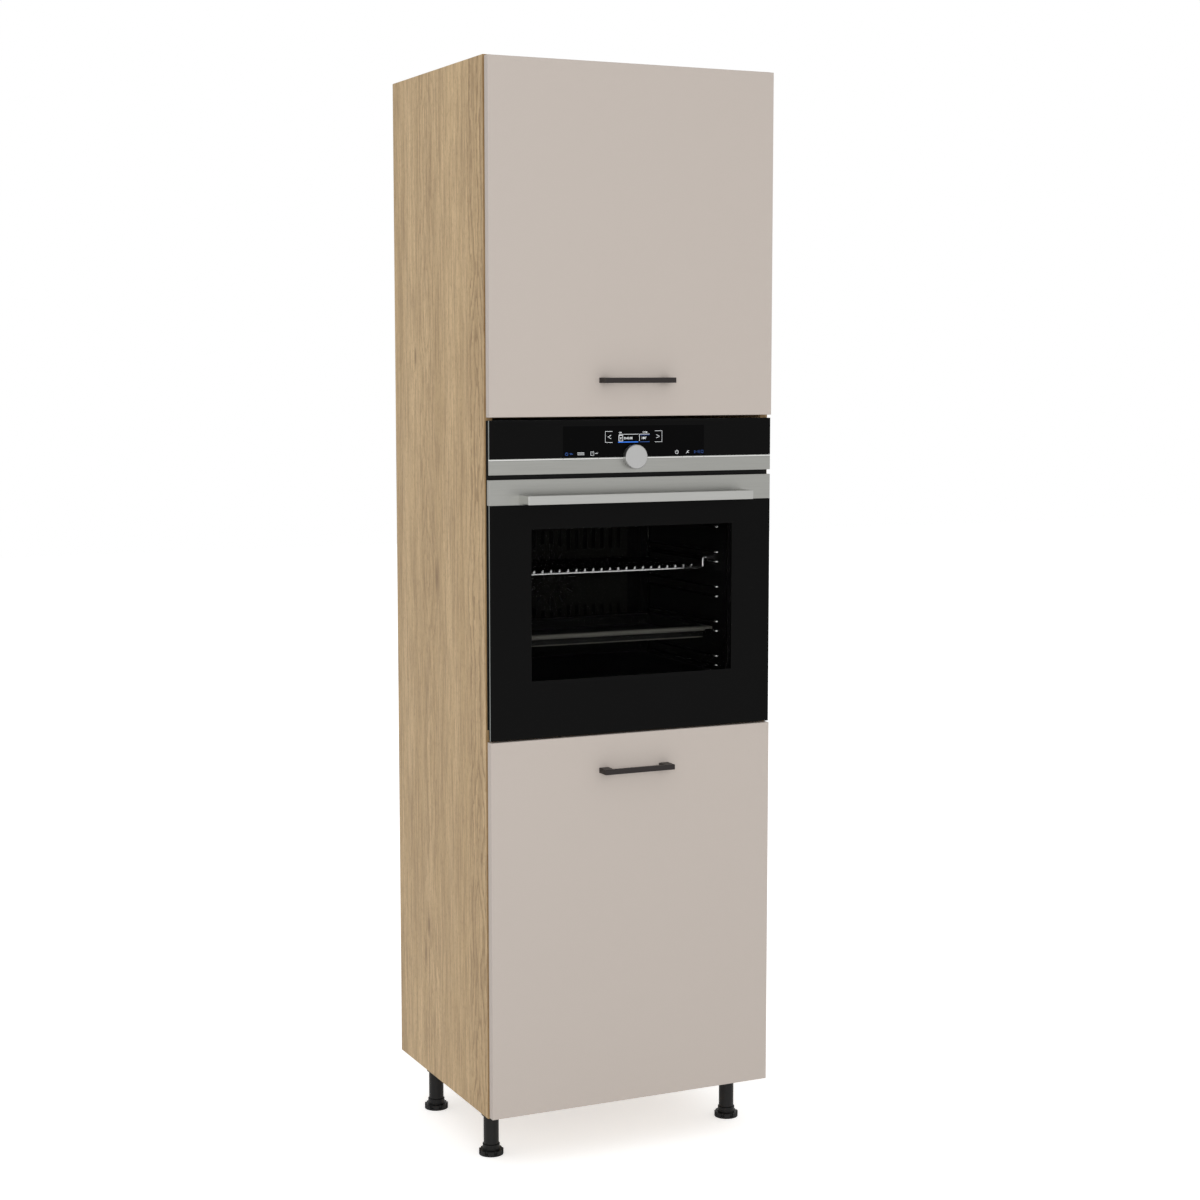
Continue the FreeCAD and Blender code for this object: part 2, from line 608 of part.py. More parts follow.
def shelf_pins():
    """Make the four pins that carry the loose shelf."""
    pieces = []
    for side in (-1, 1):
        near = f"{side} * (inner_half - pin_reach)"
        far = f"{side} * (inner_half + pin_hole_depth - seat_gap)"
        span = (near, far) if side > 0 else (far, near)
        for index, depth in enumerate(("pin_front", "pin_back")):
            pieces.append(rod(f"pin_{side}_{index}", "pin_radius - seat_gap", "x", span,
                              (depth, "shelf_pin_height")))
    return grouped("shelf_pins", pieces)


# Legs ---------------------------------------------------------------------------------------

LEGS = {
    "front_left": ("-leg_side", "leg_front"),
    "front_right": ("leg_side", "leg_front"),
    "rear_left": ("-leg_side", "leg_back"),
    "rear_right": ("leg_side", "leg_back"),
}


def leg_sockets():
    """Make the four plates under the floor, each with the collar that holds a leg."""
    pieces = []
    for place, centre in LEGS.items():
        low = "leg_height - socket_plate_thickness - socket_collar_height"
        plate = rod("socket_plate_" + place, "socket_plate_radius", "z",
                    ("leg_height - socket_plate_thickness", "leg_height"), centre)
        collar = rod("socket_collar_" + place, "socket_collar_radius", "z",
                     (low, "leg_height - socket_plate_thickness"), centre)
        bore = rod("socket_bore_" + place, "leg_radius + seat_gap", "z",
                   (low + " - overrun", "leg_height - socket_plate_thickness"), centre)
        pieces.append(cut("socket_" + place, joined("socket_body_" + place, [plate, collar]), [bore]))
    return grouped("leg_sockets", pieces)


def leg_tubes():
    """Make the four hollow legs between the feet and the plates."""
    pieces = []
    for place, centre in LEGS.items():
        span = ("foot_collar_top + seat_gap", "leg_height - socket_plate_thickness - seat_gap")
        outer = rod("leg_outer_" + place, "leg_radius", "z", span, centre)
        bore = rod("leg_bore_" + place, "leg_bore", "z", (span[0] + " - overrun", span[1] + " - leg_wall"),
                   centre)
        pieces.append(cut("leg_" + place, outer, [bore]))
    return grouped("leg_tubes", pieces)


def foot(place):
    """Make one castellated foot with the stem that screws up into its leg."""
    body = new_body("foot_body_" + place, LEGS[place][0], LEGS[place][1], "0")
    outline = new_sketch(body, "XZ_Plane")
    stem = "leg_bore - seat_gap"
    draw_outline(outline, (
        ("0", "0"), ("foot_radius", "0"), ("foot_radius", "foot_thickness"),
        ("foot_collar_radius", "foot_thickness"), ("foot_collar_radius", "foot_collar_top"),
        (stem, "foot_collar_top"), (stem, "foot_collar_top + foot_stem_height"),
        ("0", "foot_collar_top + foot_stem_height")))
    revolve(body, outline)
    notch = new_sketch(body, "XY_Plane", "foot_base")
    draw_circle(notch, "foot_radius", "0", "foot_notch_radius")
    first = pocket(body, notch, "foot_thickness", backwards=True)
    ring = body.newObject("PartDesign::PolarPattern", "notch_ring_" + place)
    ring.Originals = [first]
    ring.Axis = (notch, ["N_Axis"])
    ring.Occurrences = FOOT_NOTCHES
    ring.Angle = 360
    body.Tip = ring
    return body


# Fronts and their handles -------------------------------------------------------------------

def front_board(name, z):
    """Make a lacquered front with softly rounded outer edges."""
    body = new_body(name, "-front_half", "front_plane", z[0])
    outline = new_sketch(body, "XZ_Plane")
    draw_box(outline, "2 * front_half", f"({z[1]}) - ({z[0]})")
    slab = pad(body, outline, "front_thickness", backwards=True)
    round_edges(body, slab, "front_edge_radius", lambda edge: edge.BoundBox.YMax < 0.001)
    return body


def handle_screw_holes(name, height):
    """Return the tools that bore a front for its handle's two screws."""
    tools = []
    for side in (-1, 1):
        centre = (f"{side} * handle_screw_side", height)
        tools.append(rod(f"{name}_screw_bore_{side}", "handle_screw_radius + seat_gap", "y",
                         ("front_plane - overrun", "front_back + overrun"), centre))
    return tools


def bridge_handle(name, height):
    """Make a flat bridge handle and its two screws, whose heads lie on the front's inner face."""
    body = new_body(name + "_bridge", "-handle_length / 2", "front_plane - handle_reach",
                    f"{height} - handle_height / 2")
    outline = new_sketch(body, "XY_Plane")
    draw_outline(outline, (
        ("0", "0"), ("handle_length", "0"), ("handle_length", "handle_reach"),
        ("handle_length - handle_post", "handle_reach"), ("handle_length - handle_post", "handle_bar"),
        ("handle_post", "handle_bar"), ("handle_post", "handle_reach"), ("0", "handle_reach")))
    bridge = pad(body, outline, "handle_height")
    reach = size("handle_reach")
    round_edges(body, bridge, "handle_edge", lambda edge: edge.BoundBox.YMin < reach - 0.001)
    bores = []
    screws = []
    for side in (-1, 1):
        centre = (f"{side} * handle_screw_side", height)
        tip = "front_plane - handle_reach + handle_bar + handle_screw_end"
        bores.append(rod(f"{name}_tapped_hole_{side}", "handle_screw_radius + seat_gap", "y",
                         (tip + " - seat_gap", "front_plane + overrun"), centre))
        shank = rod(f"{name}_shank_{side}", "handle_screw_radius", "y", (tip, "front_back + seat_gap"),
                    centre)
        head = rod(f"{name}_head_{side}", "handle_screw_head", "y",
                   ("front_back + seat_gap", "front_back + seat_gap + handle_screw_head_depth"), centre)
        screws.append(joined(f"{name}_screw_{side}", [shank, head]))
    return grouped(name, [cut(name + "_bored", body, bores)] + screws)


# Flap ---------------------------------------------------------------------------------------

def upper_front():
    """Make the lift-up front, with seats for its hinge cups and handle screws."""
    base = front_board("upper_front_board", ("flap_bottom", "flap_top"))
    tools = handle_screw_holes("upper_front", "flap_handle_height")
    for side in (-1, 1):
        tools.append(rod(f"cup_seat_{side}", "hinge_cup_radius + seat_gap", "y",
                         ("front_back - hinge_cup_depth - seat_gap", "front_back + overrun"),
                         (f"{side} * hinge_side", "hinge_cup_height")))
    return cut("upper_front", base, tools)


def hinge_cups():
    """Make the two hinge cups with their flanges, let into the flap."""
    face = "front_back + seat_gap"
    cup = rod("cup_outer", "hinge_cup_radius", "y", ("front_back - hinge_cup_depth", face),
              ("hinge_side", "hinge_cup_height"))
    flange = block("cup_flange", ("hinge_side - hinge_flange_width / 2",
                                  "hinge_side + hinge_flange_width / 2"),
                   (face, face + " + hinge_flange_thickness"),
                   ("hinge_cup_height - hinge_flange_height / 2",
                    "hinge_cup_height + hinge_flange_height / 2"))
    hollow = rod("cup_hollow", "hinge_cup_hollow", "y",
                 ("front_back - hinge_cup_depth + hinge_cup_wall",
                  face + " + hinge_flange_thickness + overrun"),
                 ("hinge_side", "hinge_cup_height"))
    return both_sides("hinge_cups", cut("hinge_cup", joined("cup_shell", [cup, flange]), [hollow]))


def hinge_arms():
    """Make the two hinge arms, each on its plate under the top panel."""
    start = "carcass_front + 2 * seat_gap"
    plate_low = "top_under - hinge_plate_thickness"
    plate = block("hinge_plate", ("hinge_side - hinge_plate_width / 2",
                                  "hinge_side + hinge_plate_width / 2"),
                  (start + " + hinge_plate_start", start + " + hinge_arm_length"), (plate_low, "top_under"))
    arm = block("hinge_arm", ("hinge_side - hinge_arm_width / 2", "hinge_side + hinge_arm_width / 2"),
                (start, start + " + hinge_arm_length"), (plate_low + " - hinge_arm_height", plate_low))
    return both_sides("hinge_arms", joined("hinge_arm_and_plate", [plate, arm]))


def strut_anchors():
    """Make the two brackets on the side panels, each with the pin that a strut swings on."""
    plate = block("anchor_plate", ("inner_half - bracket_thickness", "inner_half"),
                  ("anchor_y - bracket_size / 2", "anchor_y + bracket_size / 2"),
                  ("anchor_z - bracket_size / 2", "anchor_z + bracket_size / 2"))
    pin = rod("anchor_pin", "strut_pin_radius", "x", ("strut_lane_in - strut_pin_end",
                                                      "inner_half - bracket_thickness"),
              ("anchor_y", "anchor_z"))
    return both_sides("strut_anchors", joined("strut_anchor", [plate, pin]))


def strut_studs():
    """Make the two brackets on the flap, each with its stud beside the rod's eye."""
    ear_near = "strut_lane_out + stud_ear_gap"
    ear_x = (ear_near, ear_near + " + bracket_thickness")
    plate = block("stud_plate", ("strut_lane_in - stud_plate_reach", ear_x[1]),
                  ("front_back", "front_back + bracket_thickness"),
                  ("stud_z - bracket_size / 2", "stud_z + bracket_size / 2"))
    ear = block("stud_ear", ear_x, ("front_back", "stud_y + strut_eye_radius"),
                ("stud_z - strut_eye_radius", "stud_z + strut_eye_radius"))
    stud = rod("stud_pin", "strut_pin_radius", "x", ("strut_lane_out + seat_gap", ear_x[0]),
               ("stud_y", "stud_z"))
    return both_sides("strut_studs", joined("strut_stud", [plate, ear, stud]))


def strut_tubes():
    """Make the two pressure tubes, each with the eye that turns on its bracket's pin."""
    tube = rod("tube_outer", "strut_radius", "z", ("strut_tube_start",
                                                   "strut_tube_start + strut_tube_length"),
               ("0", "0"))
    neck = rod("tube_neck", "strut_rod_radius", "z", ("strut_eye_radius / 2",
                                                      "strut_tube_start + overrun"), ("0", "0"))
    eye = rod("tube_eye", "strut_eye_radius", "x", ("-strut_eye_width / 2", "strut_eye_width / 2"),
              ("0", "0"))
    bore = rod("tube_bore", "strut_rod_radius + seat_gap", "z",
               ("strut_tube_start + bracket_thickness", "strut_tube_start + strut_tube_length + overrun"),
               ("0", "0"))
    hole = rod("tube_eye_hole", "strut_pin_radius + running_gap", "x",
               ("-strut_eye_width", "strut_eye_width"), ("0", "0"))
    shape = cut("strut_tube", joined("strut_tube_body", [tube, neck, eye]), [bore, hole])
    tilted(shape, "strut_tilt", "strut_lane", "anchor_y", "anchor_z")
    return both_sides("strut_tubes", shape)


def strut_rods():
    """Make the two piston rods, each with an eye at the flap's end."""
    shank = rod("rod_shank", "strut_rod_radius", "z",
                ("strut_closed - strut_rod_length", "strut_closed - strut_eye_radius / 2"), ("0", "0"))
    eye = rod("rod_eye", "strut_eye_radius", "x", ("-strut_eye_width / 2", "strut_eye_width / 2"),
              ("0", "strut_closed"))
    hole = rod("rod_eye_hole", "strut_pin_radius + running_gap", "x",
               ("-strut_eye_width", "strut_eye_width"),
               ("0", "strut_closed"))
    shape = cut("strut_rod", joined("strut_rod_body", [shank, eye]), [hole])
    tilted(shape, "strut_tilt", "strut_lane", "anchor_y", "anchor_z")
    return both_sides("strut_rods", shape)


# Drawer -------------------------------------------------------------------------------------

def drawer_front():
    """Make the pull-out's front, bored for its handle's screws."""
    base = front_board("drawer_front_board", ("drawer_front_bottom", "drawer_front_top"))
    return cut("drawer_front", base, handle_screw_holes("drawer_front", "drawer_handle_height"))


def drawer_side(name, side):
    """Make one side of the box."""
    near = f"{side} * box_inner"
    far = f"{side} * box_outer"
    span = (near, far) if side > 0 else (far, near)
    return block(name, span, ("front_back", "box_rear"), ("box_bottom", "box_top"))


def gallery_rails():
    """Make the two round rails above each side of the box, with the post that holds their rear ends."""
    x = "(box_inner + box_outer) / 2"
    top = f"box_top + gallery_first + {GALLERY_RAILS - 1} * gallery_spacing + gallery_radius * 2"
    half_post = "gallery_post / 2"
    post = block("gallery_post_bar", (f"{x} - {half_post}", f"{x} + {half_post}"),
                 ("box_rear - gallery_post", "box_rear"), ("box_top", top))
    rails = [rod(f"gallery_rail_{index}", "gallery_radius", "y",
                 ("front_back", f"box_rear - {half_post}"),
                 (x,
                  f"box_top + gallery_first + {index} * gallery_spacing")) for index in range(GALLERY_RAILS)]
    return both_sides("gallery_rails", joined("gallery_side", [post] + rails))


def runner_channel(name, web, lips, half_height):
    """Make one runner member: a web along the drawer and a lip above and below it."""
    outer = block(name + "_outer", whole_width(web, lips), ("runner_front", "runner_rear"),
                  (f"runner_middle_height - ({half_height})", f"runner_middle_height + ({half_height})"))
    inner_half_height = f"({half_height}) - runner_sheet"
    hollow = block(name + "_hollow", lips, ("runner_front - overrun", "runner_rear + overrun"),
                   (f"runner_middle_height - ({inner_half_height})",
                    f"runner_middle_height + ({inner_half_height})"))
    return cut(name, outer, [hollow])


def whole_width(web, lips):
    """Return the whole width of a member whose web and lips lie side by side."""
    return (lips[0], web[1]) if web[0] == lips[1] else (web[0], lips[1])


def runners():
    """Make the three members of the side runners: cabinet, middle and drawer member."""
    outer_web = "inner_half - runner_sheet"
    outer = runner_channel("runner_outer_side", (outer_web, "inner_half"),
                           (outer_web + " - runner_lip", outer_web),
                           "runner_height / 2")
    middle_edge = outer_web + " - runner_play"
    middle_web = middle_edge + " - runner_sheet"
    middle_half = "runner_height / 2 - runner_sheet - runner_play"
    middle = runner_channel("runner_middle_side", (middle_web, middle_edge),
                            (middle_web + " - runner_lip", middle_web), middle_half)
    inner_web = "box_outer + runner_sheet"
    inner = runner_channel("runner_inner_side", ("box_outer", inner_web),
                           (inner_web, middle_web + " - runner_play"),
                           middle_half + " - runner_sheet - runner_play")
    return (both_sides("runner_outer", outer), both_sides("runner_middle", middle),
            both_sides("runner_inner", inner))


# Oven body ----------------------------------------------------------------------------------

def oven_casing():
    """Make the five sheets round the oven, open at the front; the rear one has a hole for the wiring."""
    depth = ("frame_back", "casing_rear")
    inside = ("casing_sheet - casing_half", "casing_half - casing_sheet")
    left = block("casing_left", ("-casing_half", "casing_sheet - casing_half"), depth,
                 ("casing_bottom", "casing_top"))
    right = block("casing_right", ("casing_half - casing_sheet", "casing_half"), depth,
                  ("casing_bottom", "casing_top"))
    bottom = block("casing_floor", inside, depth, ("casing_bottom", "casing_bottom + casing_sheet"))
    top = block("casing_roof", inside, depth, ("casing_top - casing_sheet", "casing_top"))
    rear = block("casing_rear_sheet", inside, ("casing_rear - casing_sheet", "casing_rear"),
                 ("casing_bottom + casing_sheet", "casing_top - casing_sheet"))
    wiring = rod("casing_wiring_hole", "cord_hole_radius", "y",
                 ("casing_rear - casing_sheet - overrun", "casing_rear + overrun"),
                 ("-terminal_side", "terminal_z"))
    return grouped("oven_casing", [left, right, bottom, top, cut("casing_bored_rear", rear, [wiring])])


def oven_cavity():
    """Make the enamelled cavity with the plate round its mouth."""
    wall = "cavity_sheet"
    outer = block("cavity_outer", (f"-cavity_half - {wall}", f"cavity_half + {wall}"),
                  ("mouth_plate_face", f"cavity_rear + {wall}"),
                  (f"cavity_low - {wall}", f"cavity_high + {wall}"))
    plate = block("mouth_plate", ("-mouth_plate_half", "mouth_plate_half"),
                  ("mouth_plate_face", "cavity_mouth"),
                  ("casing_bottom + casing_sheet", "door_top - mouth_plate_drop"))
    hollow = block("cavity_hollow", ("-cavity_half", "cavity_half"),
                   ("mouth_plate_face - overrun", "cavity_rear"),
                   ("cavity_low", "cavity_high"))
    shaft = rod("cavity_shaft_hole", "fan_shaft_radius + running_gap", "y",
                ("cavity_rear - overrun", "motor_front + overrun"),
                ("0", "fan_z"))
    return cut("oven_cavity", joined("cavity_shell", [outer, plate]), [hollow, shaft])


def oven_gasket():
    """Make the seal round the cavity's mouth."""
    face = ("mouth_plate_face - gasket_thickness", "mouth_plate_face")
    near = "gasket_margin"
    far = "(gasket_margin + gasket_width)"
    outer = block("gasket_outer", (f"-cavity_half - {far}", f"cavity_half + {far}"), face,
                  (f"cavity_low - {far}", f"cavity_high + {far}"))
    inner = block("gasket_inner", (f"-cavity_half - {near}", f"cavity_half + {near}"),
                  (face[0] + " - overrun", face[1] + " + overrun"),
                  (f"cavity_low - {near}", f"cavity_high + {near}"))
    return cut("oven_gasket", outer, [inner])


def oven_front_frame():
    """Make the black frame that overlaps the cabinet's edges, with its four countersunk screws."""
    face = ("frame_face", "frame_back")
    plate = block("frame_plate", ("-oven_half", "oven_half"), face,
                  ("oven_bottom + frame_foot", "oven_top"))
    opening = block("frame_opening", ("frame_opening_side - oven_half", "oven_half - frame_opening_side"),
                    ("frame_face - overrun", "frame_back + overrun"),
                    ("oven_bottom + frame_foot - overrun", "door_top - frame_opening_drop"))
    half_module = "(housing_module_width / 2 + seat_gap)"
    module = block("frame_module_opening", (f"-{half_module}", half_module),
                   ("frame_face - overrun", "frame_back + overrun"),
                   ("module_mid - housing_module_height / 2 - seat_gap",
                    "module_mid + housing_module_height / 2 + seat_gap"))
    tools = [opening, module]
    screws = []
    for side in (-1, 1):
        for index, height in enumerate(frame_screw_places()):
            centre = (f"{side} * (oven_half - screw_from_edge)", height)
            tag = f"{side}_{index}"
            tools.append(rod("frame_screw_hole_" + tag, "screw_radius + seat_gap", "y",
                             ("frame_face - overrun", "frame_back + overrun"), centre))
            tools.append(rod("frame_screw_seat_" + tag, "screw_head_radius", "y",
                             ("frame_face - overrun", "frame_face + frame_thickness / 2"), centre))
            shank = rod("frame_screw_shank_" + tag, "screw_radius", "y",
                        ("frame_face", "frame_face + screw_length"), centre)
            head = rod("frame_screw_head_" + tag, "screw_head_radius - seat_gap", "y",
                       ("frame_face", "frame_face + frame_thickness / 2"), centre)
            screws.append(joined("frame_screw_" + tag, [shank, head]))
    return grouped("oven_front_frame", [cut("frame_cut", plate, tools)] + screws)


def fan_cover():
    """Make the pressed cover in front of the fan, with two rows of slots and a round intake."""
    half = "fan_cover_half"
    low = "(fan_z - fan_cover_rise)"
    high = "(fan_z + fan_cover_rise)"
    sheet = "fan_cover_sheet"
    outer = block("fan_cover_outer", (f"-{half}", half), ("fan_cover_front", "cavity_rear"), (low, high))
    hollow = block("fan_cover_hollow", (f"{sheet} - {half}", f"{half} - {sheet}"),
                   (f"fan_cover_front + {sheet}", "cavity_rear + overrun"),
                   (f"{low} + {sheet}", f"{high} - {sheet}"))
    tools = [hollow]
    through = ("fan_cover_front - overrun", f"fan_cover_front + {sheet} + overrun")
    pitch = f"(fan_cover_half - fan_slot_side) * 2 / {FAN_SLOTS - 1}"
    rows = ((f"{low} + fan_slot_edge", f"{low} + fan_slot_edge + fan_slot_height"),
            (f"{high} - fan_slot_edge - fan_slot_height", f"{high} - fan_slot_edge"))
    for row, heights in enumerate(rows):
        for index in range(FAN_SLOTS):
            middle = f"{index - (FAN_SLOTS - 1) // 2} * {pitch}"
            tools.append(block(f"fan_slot_{row}_{index}",
                               (f"{middle} - fan_slot_width / 2", f"{middle} + fan_slot_width / 2"),
                               through, heights))
    for ring, count in enumerate(FAN_INTAKE_RINGS):
        for index in range(count):
            turn = f"{360 * index / count}deg"
            tools.append(rod(f"fan_intake_{ring}_{index}", "fan_intake_radius", "y", through,
                             (f"{ring} * fan_intake_pitch * cos({turn})",
                              f"fan_z + {ring} * fan_intake_pitch * sin({turn})")))
    return cut("fan_cover", outer, tools)


def convection_fan():
    """Make the fan wheel: a back disc, a ring of blades, a hub and the shaft to the motor."""
    rear = "cavity_rear - fan_gap"
    disc = rod("fan_disc", "fan_radius", "y", (rear + " - fan_blade_thickness", rear), ("0", "fan_z"))
    hub = rod("fan_hub", "fan_hub_radius", "y", ("fan_front", rear), ("0", "fan_z"))
    shaft = rod("fan_shaft", "fan_shaft_radius", "y", ("fan_front", "motor_front + motor_length / 2"),
                ("0", "fan_z"))
    body = new_body("fan_blades", "0", "fan_front", "fan_z")
    outline = new_sketch(body, "XZ_Plane")
    draw_box(outline, "fan_radius - fan_blade_inner - fan_rim", "fan_blade_thickness",
             left="fan_blade_inner")
    first = pad(body, outline, "fan_blade_height - fan_blade_thickness / 2", backwards=True)
    doc.recompute()
    ring = body.newObject("PartDesign::PolarPattern", "blade_ring")
    ring.Originals = [first]
    ring.Axis = (outline, ["N_Axis"])
    ring.Occurrences = FAN_BLADES
    ring.Angle = 360
    body.Tip = ring
    return joined("convection_fan", [disc, hub, shaft, body])


def fan_motor():
    """Make the motor behind the cavity, bored for the fan's shaft."""
    case = rod("motor_case", "motor_radius", "y", ("motor_front", "motor_front + motor_length"),
               ("0", "fan_z"))
    bore = rod("motor_bore", "fan_shaft_radius + running_gap", "y",
               ("motor_front - overrun", "motor_front + motor_length / 2 + seat_gap"), ("0", "fan_z"))
    return cut("fan_motor", case, [bore])


def grill_element():
    """Make the grill heater: a rod bent to and fro under the roof, its two ends in the rear wall."""
    width = 2 * (size("cavity_half") - size("grill_side"))
    pitch = width / GRILL_PASSES
    rear = size("cavity_rear")
    front = rear - size("grill_depth")
    turn = rear - size("grill_turn_space")
    height = size("grill_z")
    corners = []
    for index in range(GRILL_PASSES + 1):
        x = -width / 2 + index * pitch
        back = rear if index in (0, GRILL_PASSES) else turn
        run = [Vector(x, back, height), Vector(x, front, height)]
        corners += reversed(run) if index % 2 else run
    return bent_rod("grill_element", corners, size("grill_bend_radius"), size("grill_radius"))


def oven_lamp():
    """Make the lamp's glass cap on the rear wall."""
    return rod("oven_lamp", "lamp_radius", "y", ("cavity_rear - lamp_depth", "cavity_rear"),
               ("cavity_half - lamp_from_side", "cavity_high - lamp_below_roof"))


def side_racks():
    """Make the two side racks: five pairs of wires on a rear post, each bent to the wall at its front."""
    wires = [rod("rack_post", "rack_wire_radius", "z",
                 ("rack_low - rack_wire_radius * 2",
                  f"rack_low + {RACK_LEVELS - 1} * rack_pitch + rack_pair + rack_wire_radius * 2"),
                 ("rack_x", "rack_y_rear - 2 * rack_wire_radius"))]
    for end, height in (("low", "rack_low + rack_pair"),
                        ("high", f"rack_low + {RACK_LEVELS - 1} * rack_pitch")):
        wires.append(rod("rack_stud_" + end, "rack_wire_radius", "x", ("rack_x", "cavity_half"),
                         ("rack_y_rear - 2 * rack_wire_radius", height)))
    front = size("rack_y_front") + size("rack_wire_radius")
    for level in range(RACK_LEVELS):
        for pair in (0, 1):
            height = size("rack_low") + level * size("rack_pitch") + pair * size("rack_pair")
            corners = [Vector(size("rack_x"), size("rack_y_rear"), height),
                       Vector(size("rack_x"), front, height), Vector(size("cavity_half"), front, height)]
            wires.append(bent_rod(f"rack_wire_{level}_{pair}", corners, size("rack_bend_radius"),
                                  size("rack_wire_radius")))
    return both_sides("side_racks", joined("side_rack", wires))


def wire_shelf():
    """Make the oven's wire shelf: a grid that hangs a little below its two side runners."""
    runner_x = size("wire_runner_x")
    shoulder = runner_x - size("shelf_shoulder")
    high = size("wire_runner_z")
    low = size("wire_shelf_z")
    bars = []
    for tag, depth in (("front", "wire_shelf_front"), ("rear", "wire_shelf_rear")):
        y = size(depth)
        corners = [Vector(-runner_x, y, high), Vector(-shoulder, y, high), Vector(-shoulder, y, low),
                   Vector(shoulder, y, low), Vector(shoulder, y, high), Vector(runner_x, y, high)]
        bars.append(bent_rod("shelf_bar_" + tag, corners, size("shelf_bend_radius"),
                             size("shelf_wire_radius")))
    for side in (-1, 1):
        bars.append(rod(f"shelf_runner_{side}", "shelf_runner_radius", "y",
                        ("wire_shelf_front - 2 * shelf_wire_radius",
                         "wire_shelf_rear + 2 * shelf_wire_radius"),
                        (f"{side} * wire_runner_x", "wire_runner_z")))
    for index in range(GRID_WIRES):
        x = f"{index - (GRID_WIRES - 1) // 2} * shelf_grid_pitch"
        bars.append(rod(f"grid_wire_{index}", "shelf_grid_radius", "y",
                        ("wire_shelf_front - shelf_wire_radius / 2",
                         "wire_shelf_rear + shelf_wire_radius / 2"),
                        (x, "wire_shelf_z + shelf_wire_radius + shelf_grid_radius / 2")))
    return joined("wire_shelf", bars)


def baking_tray():
    """Make the shallow tray, whose rolled rim rests on the side racks."""
    rim_top = "tray_rim_low + tray_rim_thickness"
    floor = "tray_rim_low - tray_depth"
    rim = block("tray_rim", ("-tray_half", "tray_half"), ("tray_y_front", "tray_y_rear"),
                ("tray_rim_low", rim_top))
    dish_half = "(tray_half - tray_rim_width)"
    dish_y = ("tray_y_front + tray_rim_width", "tray_y_rear - tray_rim_width")
    dish = block("tray_dish", (f"-{dish_half}", dish_half), dish_y, (floor, rim_top))
    hollow = block("tray_hollow", (f"tray_sheet - {dish_half}", f"{dish_half} - tray_sheet"),
                   (dish_y[0] + " + tray_sheet", dish_y[1] + " - tray_sheet"),
                   (floor + " + tray_sheet", rim_top + " + overrun"))
    return cut("baking_tray", joined("tray_body", [rim, dish]), [hollow])


def terminal_box():
    """Make the box on the casing's rear where the supply goes in, with its empty cord hole."""
    half = "terminal_width / 2"
    case = block("terminal_case", (f"-terminal_side - {half}", f"-terminal_side + {half}"),
                 ("casing_rear", "casing_rear + terminal_depth"),
                 ("terminal_z - terminal_height / 2", "terminal_z + terminal_height / 2"))
    inlet = rod("terminal_inlet", "cord_hole_radius", "y",
                ("casing_rear + terminal_depth - cord_hole_depth",
                 "casing_rear + terminal_depth + overrun"),
                ("-terminal_side", "terminal_z"))
    return cut("terminal_box", case, [inlet])


# Control panel ------------------------------------------------------------------------------

def knob_hole(name):
    """Return a tool that clears the knob's collar."""
    return rod(name, "knob_collar_radius", "y", ("oven_face - overrun", "panel_back + overrun"),
               ("0", "strip_top"))


def control_panel_glass():
    """Make the black glass above the strip."""
    pane = block("panel_pane", ("-oven_half", "oven_half"), ("oven_face", "panel_back"),
                 ("strip_top", "oven_top"))
    return cut("control_panel_glass", pane, [knob_hole("glass_knob_hole")])


def control_panel_strip():
    """Make the steel strip below the glass, bevelled along its upper edge."""
    body = new_body("strip_bar", "-oven_half", "oven_face", "panel_bottom")
    outline = new_sketch(body, "YZ_Plane")
    top = "strip_height - seat_gap"
    draw_outline(outline, (
        ("0", "0"), ("panel_sheet", "0"), ("panel_sheet", top), ("strip_bevel", top),
        ("0", top + " - strip_bevel")))
    pad(body, outline, "2 * oven_half")
    return cut("control_panel_strip", body, [knob_hole("strip_knob_hole")])


def control_housing():
    """Make the housing behind the panel, with the module that goes through the frame."""
    margin = "door_slab_margin"
    slab = block("housing_slab", (f"{margin} - oven_half", f"oven_half - {margin}"),
                 ("panel_back", "frame_face"),
                 (f"panel_bottom + {margin}", f"oven_top - {margin}"))
    half = "housing_module_width / 2"
    module = block("housing_module", (f"-{half}", half), ("panel_back", "housing_rear"),
                   ("module_mid - housing_module_height / 2", "module_mid + housing_module_height / 2"))
    bore = rod("housing_knob_bore", "knob_shaft_radius + running_gap", "y",
               ("panel_back - overrun", "panel_back + housing_depth / 2"), ("0", "strip_top"))
    return cut("control_housing", joined("housing_body", [slab, module]), [bore])


def control_knob():
    """Make the round knob with its collar and the shaft that turns in the housing."""
    body = new_body("control_knob", "0", "oven_face", "strip_top")
    outline = new_sketch(body, "XY_Plane")
    collar = "knob_collar_radius - seat_gap"
    tail = "panel_sheet + housing_depth / 2 - knob_shaft_end"
    draw_outline(outline, (
        ("0", "-knob_reach"), ("knob_radius - knob_edge", "-knob_reach"),
        ("knob_radius", "knob_edge - knob_reach"), ("knob_radius", "-seat_gap"), (collar, "-seat_gap"),
        (collar, "panel_sheet - seat_gap"), ("knob_shaft_radius", "panel_sheet - seat_gap"),
        ("knob_shaft_radius", tail), ("0", tail)))
    revolve(body, outline)
    return body


# Oven door ----------------------------------------------------------------------------------

def oven_door_glass():
    """Make the door's black outer pane, clear over the window."""
    body = new_body("oven_door_glass", "-oven_half", "oven_face", "oven_bottom")
    outline = new_sketch(body, "XZ_Plane")
    draw_box(outline, "2 * oven_half", "band_bottom - seat_gap - oven_bottom")
    pane = pad(body, outline, "pane_thickness", backwards=True)
    thin = size("pane_thickness") / 2
    round_edges(body, pane, "pane_corner",
                lambda edge: edge.BoundBox.YLength > thin and edge.BoundBox.ZMax < thin)
    return body


